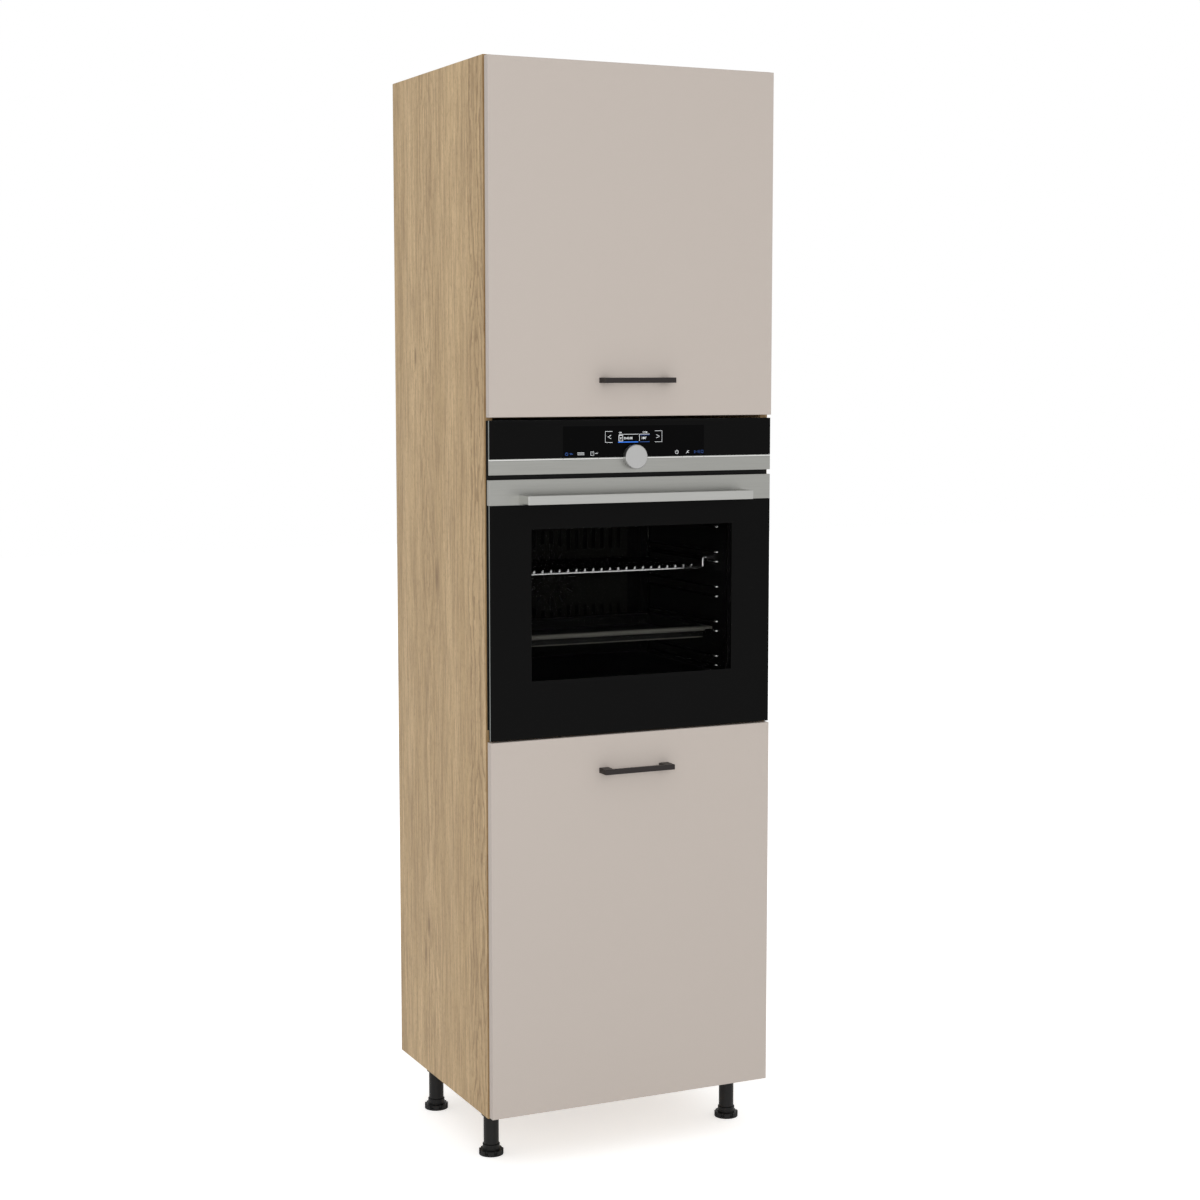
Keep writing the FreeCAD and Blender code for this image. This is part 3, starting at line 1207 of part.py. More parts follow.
def oven_door_band():
    """Make the folded steel band across the top of the door."""
    outer = block("band_outer", ("-oven_half", "oven_half"), ("oven_face", "slab_back"),
                  ("band_bottom", "door_top"))
    hollow = block("band_hollow", ("band_sheet - oven_half", "oven_half - band_sheet"),
                   ("oven_face + band_sheet", "slab_back + overrun"),
                   ("band_bottom - overrun", "door_top - band_sheet"))
    holes = []
    for side in (-1, 1):
        holes.append(rod(f"band_handle_hole_{side}", "screw_radius + seat_gap", "y",
                         ("oven_face - overrun", "oven_face + band_sheet + overrun"),
                         (f"{side} * (oven_handle_length - oven_handle_post) / 2", "oven_handle_z")))
    return cut("oven_door_band", outer, [hollow] + holes)


def oven_door_frame():
    """Make the frame between the panes, with its window, the rear pane's seat and the hinges' slots."""
    margin = "door_slab_margin"
    side = f"(oven_half - {margin})"
    slab = block("door_slab_board", (f"-{side}", side), ("pane_back", "slab_back"),
                 (f"oven_bottom + {margin}", "door_top - band_sheet - seat_gap"))
    inner = block("door_inner_box", ("-door_box_half", "door_box_half"), ("pane_back", "box_back"),
                  ("oven_bottom + door_box_foot", "door_box_high"))
    border = "window_border"
    window = block("door_window", (f"-window_half - {border}", f"window_half + {border}"),
                   ("pane_back - overrun", "box_back + overrun"),
                   (f"window_low - {border}", f"window_high + {border}"))
    seat = block("inner_pane_seat", ("inner_pane_margin - door_box_half",
                                     "door_box_half - inner_pane_margin"),
                 ("box_back - pane_thickness", "box_back + overrun"),
                 ("oven_bottom + door_box_foot + inner_pane_margin",
                  "door_box_high - inner_pane_margin"))
    tools = [window, seat]
    for way in (-1, 1):
        middle = f"{way} * hinge_from_middle"
        half_slot = "(hinge_sheet / 2 + 2 * seat_gap)"
        tools.append(block(f"hinge_slot_{way}", (f"{middle} - {half_slot}", f"{middle} + {half_slot}"),
                           ("pane_back + seat_gap", "slab_back + overrun"),
                           ("oven_bottom", "pivot_z + pivot_radius + 3 * seat_gap")))
        half_pin = "(pivot_length / 2 + 2 * seat_gap)"
        tools.append(rod(f"pivot_bore_{way}", "pivot_radius + running_gap", "x",
                         (f"{middle} - {half_pin}", f"{middle} + {half_pin}"), ("pivot_y", "pivot_z")))
    return cut("oven_door_frame", joined("door_frame_body", [slab, inner]), tools)


def oven_door_inner_glass():
    """Make the clear pane on the cavity's side of the door."""
    reach = "inner_pane_margin + seat_gap"
    return block("oven_door_inner_glass", (f"{reach} - door_box_half", f"door_box_half - ({reach})"),
                 ("box_back - pane_thickness", "box_back"),
                 (f"oven_bottom + door_box_foot + {reach}", f"door_box_high - ({reach})"))


def oven_door_handle():
    """Make the square steel bar handle with its end posts and screws."""
    body = new_body("handle_bar_body", "-oven_handle_length / 2", "oven_handle_front",
                    "oven_handle_z - oven_handle_height / 2")
    outline = new_sketch(body, "XY_Plane")
    length = "oven_handle_length"
    reach = "oven_face - oven_handle_front"
    draw_outline(outline, (
        ("0", "0"), (length, "0"), (length, reach), (f"{length} - oven_handle_post", reach),
        (f"{length} - oven_handle_post", "oven_handle_bar"), ("oven_handle_post", "oven_handle_bar"),
        ("oven_handle_post", reach), ("0", reach)))
    bar = pad(body, outline, "oven_handle_height")
    rear = size("oven_face") - size("oven_handle_front")
    round_edges(body, bar, "oven_handle_edge", lambda edge: edge.BoundBox.YMin < rear - 0.001)
    pieces = [body]
    for side in (-1, 1):
        pieces.append(rod(f"handle_screw_{side}", "screw_radius", "y",
                          ("oven_face - overrun", "pane_back - seat_gap"),
                          (f"{side} * (oven_handle_length - oven_handle_post) / 2", "oven_handle_z")))
    return joined("oven_door_handle", pieces)


def oven_hinge_arms():
    """Make the two fixed hinge arms, each with the cross pin that the door turns on."""
    middle = "hinge_from_middle"
    arm = block("hinge_arm_bar", (f"{middle} - hinge_sheet / 2", f"{middle} + hinge_sheet / 2"),
                ("pivot_y", "mouth_plate_face"), ("pivot_z - pivot_radius", "pivot_z + pivot_radius"))
    pin = rod("hinge_arm_pin", "pivot_radius", "x", (f"{middle} - pivot_length / 2",
                                                     f"{middle} + pivot_length / 2"),
              ("pivot_y", "pivot_z"))
    return both_sides("oven_hinge_arms", joined("oven_hinge_arm", [arm, pin]))


# The whole unit -----------------------------------------------------------------------------

def build_unit():
    """Make every sub-part and return them by node name."""
    runner_outer, runner_middle, runner_inner = runners()
    level = "panel_thickness"
    pieces = {
        "side_panel_left": side_panel("side_panel_left", -1),
        "side_panel_right": side_panel("side_panel_right", 1),
        "top_panel": board("top_panel", "top", ("top_under", "carcass_top")),
        "bottom_panel": board("bottom_panel", "floor", ("carcass_bottom", "floor_top")),
        "oven_shelf": board("oven_shelf", "shelf", ("shelf_bottom", "shelf_top")),
        "niche_top_shelf": board("niche_top_shelf", "roof", ("roof_bottom", "roof_top")),
        "adjustable_shelf": adjustable_shelf(),
        "shelf_pins": shelf_pins(),
        "back_panel_upper": back_panel("back_panel_upper",
                                       (f"roof_top - {level} / 2", "carcass_top - back_let_in")),
        "back_panel_lower": back_panel("back_panel_lower",
                                       ("carcass_bottom + back_let_in", f"shelf_top - {level} / 2")),
        "rear_stretcher": rear_stretcher(),
        "cam_fittings": cam_fittings(),
        "leg_sockets": leg_sockets(),
        "leg_tubes": leg_tubes(),
        "upper_front": upper_front(),
        "upper_handle": bridge_handle("upper_handle", "flap_handle_height"),
        "hinge_cups": hinge_cups(),
        "hinge_arms": hinge_arms(),
        "strut_anchors": strut_anchors(),
        "strut_studs": strut_studs(),
        "strut_tubes": strut_tubes(),
        "strut_rods": strut_rods(),
        "drawer_front": drawer_front(),
        "drawer_handle": bridge_handle("drawer_handle", "drawer_handle_height"),
        "drawer_bottom": block("drawer_bottom", ("-box_inner", "box_inner"),
                               ("front_back", "box_rear - drawer_side_thickness"),
                               ("box_bottom", "box_floor")),
        "drawer_side_left": drawer_side("drawer_side_left", -1),
        "drawer_side_right": drawer_side("drawer_side_right", 1),
        "drawer_back": block("drawer_back", ("-box_inner", "box_inner"),
                             ("box_rear - drawer_side_thickness", "box_rear"), ("box_bottom", "box_top")),
        "gallery_rails": gallery_rails(),
        "runner_outer": runner_outer,
        "runner_middle": runner_middle,
        "runner_inner": runner_inner,
        "oven_casing": oven_casing(),
        "oven_cavity": oven_cavity(),
        "oven_gasket": oven_gasket(),
        "oven_front_frame": oven_front_frame(),
        "fan_cover": fan_cover(),
        "convection_fan": convection_fan(),
        "fan_motor": fan_motor(),
        "grill_element": grill_element(),
        "oven_lamp": oven_lamp(),
        "side_racks": side_racks(),
        "wire_shelf": wire_shelf(),
        "baking_tray": baking_tray(),
        "terminal_box": terminal_box(),
        "control_panel_glass": control_panel_glass(),
        "control_panel_strip": control_panel_strip(),
        "control_housing": control_housing(),
        "control_knob": control_knob(),
        "oven_door_glass": oven_door_glass(),
        "oven_door_band": oven_door_band(),
        "oven_door_frame": oven_door_frame(),
        "oven_door_inner_glass": oven_door_inner_glass(),
        "oven_door_handle": oven_door_handle(),
        "oven_hinge_arms": oven_hinge_arms(),
    }
    for place in LEGS:
        pieces["foot_" + place] = foot(place)
    return pieces


def check(pieces):
    """Stop if any object failed or any sub-part's shape is missing or broken."""
    for item in doc.Objects:
        if "Invalid" in item.State or "Error" in item.State:
            raise RuntimeError(f"{item.Name} failed: {item.State}")
    for node, item in pieces.items():
        if item.Shape.isNull() or not item.Shape.isValid() or not item.Shape.Solids:
            raise RuntimeError(f"{node} has no sound shape")


def main():
    """Build, check and write one STEP file for each sub-part."""
    pieces = build_unit()
    doc.recompute()
    for node, item in pieces.items():
        item.Label = node
    check(pieces)
    os.makedirs("parts", exist_ok=True)
    for node, item in pieces.items():
        item.Shape.exportStep(f"parts/{node}.step")
        print(node, len(item.Shape.Solids), "solids")


main()
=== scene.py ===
"""Looks of a tall kitchen unit with a built-in oven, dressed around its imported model.

Metres. +Z is up, the fronts face -Y and +X is to the right of someone who faces them.
"""
import json
import math

import bmesh
import bpy
from mathutils import Matrix, Vector


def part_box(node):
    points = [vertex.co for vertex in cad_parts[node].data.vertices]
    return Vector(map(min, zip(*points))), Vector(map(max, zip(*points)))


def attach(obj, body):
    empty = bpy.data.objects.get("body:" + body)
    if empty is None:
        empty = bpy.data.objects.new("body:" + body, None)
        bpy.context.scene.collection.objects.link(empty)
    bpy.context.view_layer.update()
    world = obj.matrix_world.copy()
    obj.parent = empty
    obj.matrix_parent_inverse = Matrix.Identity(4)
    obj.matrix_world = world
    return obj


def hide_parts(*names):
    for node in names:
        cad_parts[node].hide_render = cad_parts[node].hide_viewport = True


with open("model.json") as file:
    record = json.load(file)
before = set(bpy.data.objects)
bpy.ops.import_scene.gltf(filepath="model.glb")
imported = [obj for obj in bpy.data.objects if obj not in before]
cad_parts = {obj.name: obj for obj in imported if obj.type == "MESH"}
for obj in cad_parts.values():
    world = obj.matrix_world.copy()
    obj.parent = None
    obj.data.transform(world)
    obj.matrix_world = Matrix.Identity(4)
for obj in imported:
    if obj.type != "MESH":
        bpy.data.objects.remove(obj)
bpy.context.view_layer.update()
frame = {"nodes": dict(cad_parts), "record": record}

bl_info = {
    "name": "Tall Oven Unit",
    "version": (1, 0, 0),
    "blender": (4, 5, 0),
    "location": "3D View > Sidebar > Tall Oven Unit",
    "description": "Dresses the packed tall unit: boards, fronts, fittings, oven and stage",
    "category": "Object",
}

MM = 0.001
SHARP_ANGLE = math.radians(32)
BEVEL_ANGLE = math.radians(60)
FLAT_ANGLE = math.radians(0.6)
SLOT_OF = {part["node"]: part["material_slot"] for part in frame["record"]["subparts"]}
BODY_OF = {node: body for body, nodes in frame["record"]["behaviour"]["bodies"].items() for node in nodes}


def screen(red, green, blue):
    """Return the linear colour of one given as it looks on a screen, 0 to 255."""
    def channel(value):
        value /= 255
        return value / 12.92 if value <= 0.04045 else ((value + 0.055) / 1.055) ** 2.4
    return channel(red), channel(green), channel(blue)


def linked(name, data):
    """Make an object of some data and link it to the scene."""
    made = bpy.data.objects.new(name, data)
    bpy.context.scene.collection.objects.link(made)
    return made


# Settings

def colour(name, text, red, green, blue):
    """Return a colour property with a default given as it looks on a screen."""
    return bpy.props.FloatVectorProperty(name=name, description=text, subtype="COLOR", size=3, min=0, max=1,
                                         default=screen(red, green, blue))


def number(name, text, value, **limits):
    """Return a number property."""
    return bpy.props.FloatProperty(name=name, description=text, default=value, **limits)


def length(name, text, value):
    """Return a length property with a default in metres."""
    return number(name, text, value, min=0, unit="LENGTH")


class UnitColours(bpy.types.PropertyGroup):
    """Colours of the unit's finishes."""
    front: colour("Front lacquer", "Matt lacquer of the two fronts", 195, 185, 177)
    oak_light: colour("Oak, light", "Lightest streaks of the oak decor", 215, 185, 139)
    oak_middle: colour("Oak, middle", "Main colour of the oak decor", 192, 162, 116)
    oak_dark: colour("Oak, dark", "Growth lines and pores of the oak decor", 127, 96, 57)
    pull: colour("Cabinet handles", "Fine satin paint of the two bridge handles", 42, 37, 36)
    leg: colour("Legs", "Grained plastic of legs and feet", 18, 17, 17)
    steel: colour("Oven steel", "Brushed steel of the oven's band and strip", 151, 151, 147)
    glass: colour("Black glass", "Print behind the panel's and the door's glass", 13, 13, 13)
    display: colour("Display blue", "Blue marks of the display", 40, 105, 205)
    mark: colour("Display white", "White marks of the display and the touch keys", 225, 228, 230)


class UnitSizes(bpy.types.PropertyGroup):
    """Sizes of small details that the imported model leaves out."""
    edge: length("Edge rounding", "Rounding of cut board edges", 0.5 * MM)
    front_edge: length("Front edge rounding", "Rounding of the lacquered fronts", 1.6 * MM)
    fitting_edge: length("Fitting edge rounding", "Rounding of hinges, struts and runners", 0.25 * MM)
    oven_edge: length("Oven edge rounding", "Rounding of the oven's folded sheet and frames", 0.3 * MM)
    strip_edge: length("Strip edge rounding", "Rounding of the panel's steel strip", 0.2 * MM)
    leg_edge: length("Leg edge rounding", "Rounding of legs and feet", 0.4 * MM)
    tray_edge: length("Tray edge rounding", "Rounding of the pressed tray", 0.7 * MM)
    print_height: length("Print height", "How far printed marks stand on the glass", 0.08 * MM)
    screw_radius: length("Screw head radius", "Radius of the fittings' screw heads", 3.4 * MM)
    screw_height: length("Screw head height", "Height of the fittings' screw heads", 1.3 * MM)


class StageSettings(bpy.types.PropertyGroup):
    """The camera's place and the level of the light."""
    ambient: number("Ambient light", "Strength of the even light all round", 0.72, min=0)
    key: number("Key light", "Power of the large soft lamp in front", 108, min=0, unit="POWER")
    camera_place: bpy.props.FloatVectorProperty(name="Camera place", description="Where the camera stands",
                                                default=(-1.855, -4.030, 1.535), unit="LENGTH")
    camera_yaw: number("Camera yaw", "Turn right of straight ahead", math.radians(25.13), subtype="ANGLE")
    camera_pitch: number("Camera pitch", "Tilt below level", math.radians(6.03), subtype="ANGLE")
    lens: number("Lens", "Focal length on a 36 mm sensor", 66.5, min=1)


# Shader groups

def new_tree(kind, name, inputs, outputs):
    """Make a node group with named sockets; inputs are (name, kind, default) and outputs (name, kind)."""
    tree = bpy.data.node_groups.new(name, kind)
    for label, socket, default in inputs:
        made = tree.interface.new_socket(name=label, in_out="INPUT", socket_type="NodeSocket" + socket)
        if default is not None:
            made.default_value = default
    for label, socket in outputs:
        tree.interface.new_socket(name=label, in_out="OUTPUT", socket_type="NodeSocket" + socket)
    return tree, tree.nodes.new("NodeGroupInput").outputs, tree.nodes.new("NodeGroupOutput").inputs


def put(tree, value, socket):
    """Link a socket to an input, or set the input to a value."""
    if isinstance(value, bpy.types.NodeSocket):
        tree.links.new(value, socket)
    elif socket.type == "RGBA":
        socket.default_value = (*value, 1)[:4]
    else:
        socket.default_value = value


def add(tree, kind, settings=None, **inputs):
    """Add a node, set its properties and its inputs, and return it. A socket as a value is linked."""
    node = tree.nodes.new(kind)
    for key, value in (settings or {}).items():
        setattr(node, key, value)
    for key, value in inputs.items():
        label = key.replace("_", " ")
        numbered = key[0] == "i" and key[1:].isdigit()
        put(tree, value, node.inputs[int(key[1:]) if numbered else label])
    return node


def output(tree, kind, settings=None, **inputs):
    """Add a node and return its first output."""
    return add(tree, kind, settings, **inputs).outputs[0]


def math_node(tree, operation, first, second=0.0, third=0.0):
    """Add a Math node and return its output."""
    return output(tree, "ShaderNodeMath", {"operation": operation}, i0=first, i1=second, i2=third)


def times(tree, first, second):
    """Multiply two values."""
    return math_node(tree, "MULTIPLY", first, second)


def plus(tree, first, second):
    """Add two values."""
    return math_node(tree, "ADD", first, second)


def minus(tree, first, second):
    """Subtract the second value from the first."""
    return math_node(tree, "SUBTRACT", first, second)


def ranged(tree, value, low, high, start=0.0, end=1.0):
    """Map a value from the limits low and high to start and end."""
    return output(tree, "ShaderNodeMapRange", i0=value, i1=low, i2=high, i3=start, i4=end)


def joined(tree, **parts):
    """Make a vector of X, Y and Z."""
    return output(tree, "ShaderNodeCombineXYZ", **parts)


def vector_node(tree, operation, first, second=(0, 0, 0)):
    """Add a Vector Math node and return its outputs."""
    return add(tree, "ShaderNodeVectorMath", {"operation": operation}, i0=first, i1=second).outputs


def axes(tree, vector):
    """Split a vector and return its X, Y and Z."""
    return add(tree, "ShaderNodeSeparateXYZ", Vector=vector).outputs


def ramp(tree, value, stops):
    """Add a colour ramp of grey levels and return its output."""
    node = add(tree, "ShaderNodeValToRGB", Fac=value)
    elements = node.color_ramp.elements
    while len(elements) < len(stops):
        elements.new(0.5)
    for element, (place, level) in zip(elements, stops):
        element.position = place
        element.color = (level, level, level, 1)
    return node.outputs["Color"]


def mix(tree, factor, first, second, blend="MIX"):
    """Mix two colours and return the result."""
    node = tree.nodes.new("ShaderNodeMix")
    node.data_type = "RGBA"
    node.blend_type = blend
    for place, value in ((0, factor), (6, first), (7, second)):
        put(tree, value, node.inputs[place])
    return node.outputs[2]


def stretched(tree, vector, scale):
    """Scale a vector by three factors."""
    return vector_node(tree, "MULTIPLY", vector, scale)[0]


def noise(tree, vector, scale=1.0, detail=2.0, roughness=0.5):
    """Add a noise texture and return its value."""
    return add(tree, "ShaderNodeTexNoise", Vector=vector, Scale=scale, Detail=detail,
               Roughness=roughness).outputs["Fac"]


def drawn_noise(tree, vector, scale, detail, roughness=0.5, limits=None):
    """Return a noise drawn out by three factors, cut to a mask between two limits if they are given."""
    value = noise(tree, stretched(tree, vector, scale), 1, detail, roughness)
    return ramp(tree, value, ((limits[0], 0.0), (limits[1], 1.0))) if limits else value


def cathedral(tree, across, along, centre, warp, waves, jag):
    """Return growth lines as long nested loops on a centre line of a board."""
    off = minus(tree, across, centre)
    off = plus(tree, off, times(tree, minus(tree, warp, 0.5), 0.050))
    rounded = math_node(tree, "SQRT", math_node(tree, "MULTIPLY_ADD", off, off, 0.000012))
    field = math_node(tree, "MULTIPLY_ADD", rounded, 52.0, times(tree, waves, 7.0))
    field = plus(tree, field, times(tree, along, 2.5))
    field = plus(tree, field, times(tree, jag, 1.3))
    line = ramp(tree, math_node(tree, "FRACT", field), ((0.0, 0.0), (0.10, 1.0), (0.34, 0.35), (0.62, 0.0)))
    reach = math_node(tree, "DIVIDE", math_node(tree, "ABSOLUTE", off), 0.050)
    mask = output(tree, "ShaderNodeMapRange", {"interpolation_type": "SMOOTHSTEP"}, i0=reach, i1=1.0,
                  i2=0.60, i3=0.0, i4=1.0)
    return times(tree, line, mask)


def oak_group():
    """Build the oak decor along +Z: broad tone, fine grain, nested arches on two lines, knots and pores."""
    tree, given, result = new_tree(
        "ShaderNodeTree", "Oak decor",
        [("Vector", "Vector", None), ("Light", "Color", None), ("Middle", "Color", None),
         ("Dark", "Color", None), ("Figure", "Float", 0.6), ("Knot", "Float", 0.0),
         ("Front line", "Float", -0.168), ("Rear line", "Float", 0.085)],
        [("Color", "Color"), ("Roughness", "Float"), ("Height", "Float")])
    place = given["Vector"]
    warp = drawn_noise(tree, place, (6, 6, 1.6), 3)
    shift = times(tree, minus(tree, warp, 0.5), 0.02)
    shift = plus(tree, shift, times(tree, given["Knot"], 0.010))
    bent = vector_node(tree, "ADD", place, joined(tree, X=shift, Y=shift))[0]
    parts = axes(tree, place)
    broad = drawn_noise(tree, bent, (13, 13, 0.8), 3, 0.55)
    bands = drawn_noise(tree, bent, (60, 60, 3.0), 4, 0.65)
    streaks = drawn_noise(tree, bent, (140, 140, 7), 4, 0.6, (0.46, 0.62))
    fibres = drawn_noise(tree, bent, (330, 330, 26), 5, 0.7, (0.44, 0.66))
    flecks = drawn_noise(tree, bent, (260, 260, 120), 2, 0.5, (0.52, 0.66))
    patches = drawn_noise(tree, place, (24, 24, 3.0), 3, 0.5, (0.46, 0.66))
    pores = drawn_noise(tree, bent, (1300, 1300, 34), 3, 0.6, (0.56, 0.66))
    waves = drawn_noise(tree, place, (3, 3, 3.4), 2)
    jag = drawn_noise(tree, place, (110, 110, 22), 3, 0.6)
    front = cathedral(tree, parts["Y"], parts["Z"], given["Front line"], warp, waves, jag)
    rear = cathedral(tree, parts["Y"], parts["Z"], given["Rear line"], warp, waves, jag)
    lines = math_node(tree, "MAXIMUM", front, times(tree, rear, 0.55))
    knot_heart = ramp(tree, given["Knot"], ((0.35, 0.0), (0.95, 1.0)))
    tone = plus(tree, times(tree, broad, 0.5), times(tree, bands, 0.5))
    base = mix(tree, ranged(tree, tone, 0.41, 0.59), given["Light"], given["Middle"])
    for mask, share in ((fibres, 0.30), (streaks, 0.38), (flecks, 0.24), (times(tree, patches, bands), 0.30),
                        (lines, given["Figure"]), (pores, 0.36), (knot_heart, 0.85)):
        base = mix(tree, times(tree, mask, share), base, given["Dark"])
    tree.links.new(base, result["Color"])
    grooves = plus(tree, times(tree, pores, 0.7), times(tree, lines, 0.3))
    tree.links.new(ranged(tree, grooves, 0.0, 1.0, 0.48, 0.62), result["Roughness"])
    tree.links.new(minus(tree, 1.0, grooves), result["Height"])
    return tree


def knot_group():
    """Build one knot: a mask that falls from 1 at a place on the board to 0 around it."""
    tree, given, result = new_tree("ShaderNodeTree", "Knot",
                                   [("Vector", "Vector", None), ("Place", "Vector", None),
                                    ("Size", "Float", 0.01)],
                                   [("Mask", "Float")])
    offset = vector_node(tree, "SUBTRACT", given["Vector"], given["Place"])[0]
    away = vector_node(tree, "LENGTH", stretched(tree, offset, (0.0, 1.0, 0.28)))["Value"]
    share = math_node(tree, "DIVIDE", away, given["Size"])
    mask = math_node(tree, "MAXIMUM", minus(tree, 1.0, share), 0.0)
    tree.links.new(mask, result["Mask"])
    return tree


def grain_group():
    """Build a fine even grain, as of lacquer, enamel or moulded plastic."""
    tree, given, result = new_tree("ShaderNodeTree", "Fine grain",
                                   [("Vector", "Vector", None), ("Scale", "Float", 900.0)],
                                   [("Shade", "Float"), ("Height", "Float")])
    fine = noise(tree, given["Vector"], given["Scale"], 2, 0.6)
    broad = noise(tree, given["Vector"], 3.0, 2)
    shade = plus(tree, times(tree, fine, 0.35), times(tree, broad, 0.65))
    tree.links.new(shade, result["Shade"])
    tree.links.new(fine, result["Height"])
    return tree


def brushed_group():
    """Build brushed lines along one direction: the stretch is small along the lines."""
    tree, given, result = new_tree("ShaderNodeTree", "Brushed lines",
                                   [("Vector", "Vector", None), ("Stretch", "Vector", None)],
                                   [("Shade", "Float"), ("Height", "Float")])
    fine = drawn_noise(tree, given["Vector"], given["Stretch"], 4, 0.7)
    tree.links.new(ramp(tree, fine, ((0.30, 0.0), (0.70, 1.0))), result["Shade"])
    tree.links.new(fine, result["Height"])
    return tree


GROUPS = {}


def group_node(tree, name, **inputs):
    """Place one of the shared groups in a material."""
    makers = {"Oak decor": oak_group, "Knot": knot_group, "Fine grain": grain_group,
              "Brushed lines": brushed_group}
    if name not in GROUPS:
        GROUPS[name] = makers[name]()
    node = tree.nodes.new("ShaderNodeGroup")
    node.node_tree = GROUPS[name]
    for key, value in inputs.items():
        put(tree, value, node.inputs[key])
    return node.outputs


# Materials

def colours():
    """Return the colour settings of this scene."""
    return bpy.context.scene.unit_colours


def sizes():
    """Return the small sizes of this scene."""
    return bpy.context.scene.unit_sizes


def new_material(name, **sockets):
    """Make a material and return it with its tree, its shader and its object coordinates."""
    material = bpy.data.materials.new(name)
    material.use_nodes = True
    tree = material.node_tree
    shader = tree.nodes["Principled BSDF"]
    for key, value in sockets.items():
        shader.inputs[key.replace("_", " ")].default_value = value
    place = tree.nodes.new("ShaderNodeTexCoord").outputs["Object"]
    return material, tree, shader, place


def bump(tree, shader, height, distance, strength=1.0):
    """Feed a height to the shader's normal."""
    node = add(tree, "ShaderNodeBump", Height=height, Distance=distance, Strength=strength)
    tree.links.new(node.outputs[0], shader.inputs["Normal"])


def between(tree, value, low, high):
    """Return 1 where a coordinate lies between two limits and 0 elsewhere."""
    above = math_node(tree, "GREATER_THAN", value, low)
    below = math_node(tree, "LESS_THAN", value, high)
    return times(tree, above, below)


def banded(tree, place, base, bands):
    """Tint a colour between two coordinates; each band is (axis, low, high, blur, tint)."""
    parts = axes(tree, place)
    for axis, low, high, blur, tint in bands:
        rise = ranged(tree, parts[axis], low, low + blur)
        fall = ranged(tree, parts[axis], high - blur, high, 1.0, 0.0)
        base = mix(tree, times(tree, rise, fall), base, tint)
    return base


def oak(name, along="z", knots=()):
    """Make the oak decor; the figure is strongest near the unit's front edge."""
    material, tree, shader, place = new_material(name, Specular_IOR_Level=0.35)
    parts = axes(tree, place)
    turned = place
    if along == "x":
        turned = joined(tree, X=parts["Z"], Y=parts["Y"], Z=parts["X"])
    knot = None
    for spot, size in knots:
        mask = group_node(tree, "Knot", Vector=place, Place=spot, Size=size)["Mask"]
        knot = mask if knot is None else math_node(tree, "MAXIMUM", knot, mask)
    own = colours()
    look = group_node(tree, "Oak decor", Vector=turned, Light=own.oak_light, Middle=own.oak_middle,
                      Dark=own.oak_dark, Figure=0.66, **({"Knot": knot} if knot else {}))
    # A darker line on the boards near their front edge, between y -0.2105 and -0.2088.
    front_dark_line = between(tree, parts["Y"], -0.2105, -0.2088)
    tinted = mix(tree, times(tree, front_dark_line, 0.55), look["Color"], own.oak_dark)
    tree.links.new(tinted, shader.inputs["Base Color"])
    tree.links.new(look["Roughness"], shader.inputs["Roughness"])
    bump(tree, shader, look["Height"], 0.00008, 0.5)
    return material


def surface(made, look, tint, variation, roughness, spread, bands, height, strength):
    """Finish a material from a group's shade and height; its tint varies and changes within bands."""
    material, tree, shader, place = made
    dark = tuple(part * (1 - variation) for part in tint)
    light = tuple(min(1.0, part * (1 + variation)) for part in tint)
    tinted = banded(tree, place, mix(tree, look["Shade"], dark, light), bands)
    tree.links.new(tinted, shader.inputs["Base Color"])
    rough = ranged(tree, look["Shade"], 0.0, 1.0, roughness - spread, roughness + spread)
    tree.links.new(rough, shader.inputs["Roughness"])
    bump(tree, shader, look["Height"], height, strength)
    return material


def coated(name, level, tint, roughness, scale, variation, height=0.00002, bands=()):
    """Make a painted, enamelled or moulded finish with a fine grain; level is its specular level."""
    made = new_material(name, Specular_IOR_Level=level)
    look = group_node(made[1], "Fine grain", Vector=made[3], Scale=scale)
    return surface(made, look, tint, variation, roughness, 0.04, bands, height, 1.0)


def brushed(name, tint, roughness, stretch, variation, bands=()):
    """Make a brushed or drawn metal, in other tints within bands; stretch is small along the lines."""
    made = new_material(name, Metallic=1.0)
    look = group_node(made[1], "Brushed lines", Vector=made[3], Stretch=stretch)
    return surface(made, look, tint, variation, roughness, 0.05, bands, 0.00001, 0.6)


def clouded(made, scale, tint, dimmed, detail, rough=None):
    """Give a pane a tint that a broad noise dims in places; rough is the span of its roughness."""
    _, tree, shader, place = made
    cloud = noise(tree, place, scale, detail)
    shade = mix(tree, cloud, tuple(part * dimmed for part in tint), tuple(tint))
    if rough:
        tree.links.new(ranged(tree, cloud, 0.0, 1.0, *rough), shader.inputs["Roughness"])
    return shade


def panel_glass():
    """Make the control panel's glass, a little darker over its touch area."""
    made = new_material("Panel glass", Specular_IOR_Level=0.04, Roughness=0.22)
    material, tree, shader, place = made
    parts = axes(tree, place)
    touch = times(tree, between(tree, parts["X"], -0.148, 0.151), between(tree, parts["Z"], 1.3635, 1.422))
    printed = clouded(made, 14.0, colours().glass, 0.85, 3)
    tree.links.new(mix(tree, touch, printed, (0.0006, 0.0006, 0.0007)), shader.inputs["Base Color"])
    return material


def door_glass():
    """Make the black print of the door's outer pane."""
    made = new_material("Door glass, printed", Specular_IOR_Level=0.04)
    shade = clouded(made, 9.0, colours().glass, 0.85, 3, (0.18, 0.26))
    made[1].links.new(shade, made[2].inputs["Base Color"])
    return made[0]


def clear_glass(name, tint, alpha, roughness=0.02):
    """Make a clear pane, tinted by its coating."""
    made = new_material(name, Alpha=alpha, Specular_IOR_Level=0.015)
    shade = clouded(made, 22.0, tint, 0.9, 2, (roughness, roughness + 0.03))
    made[1].links.new(shade, made[2].inputs["Base Color"])
    return made[0]


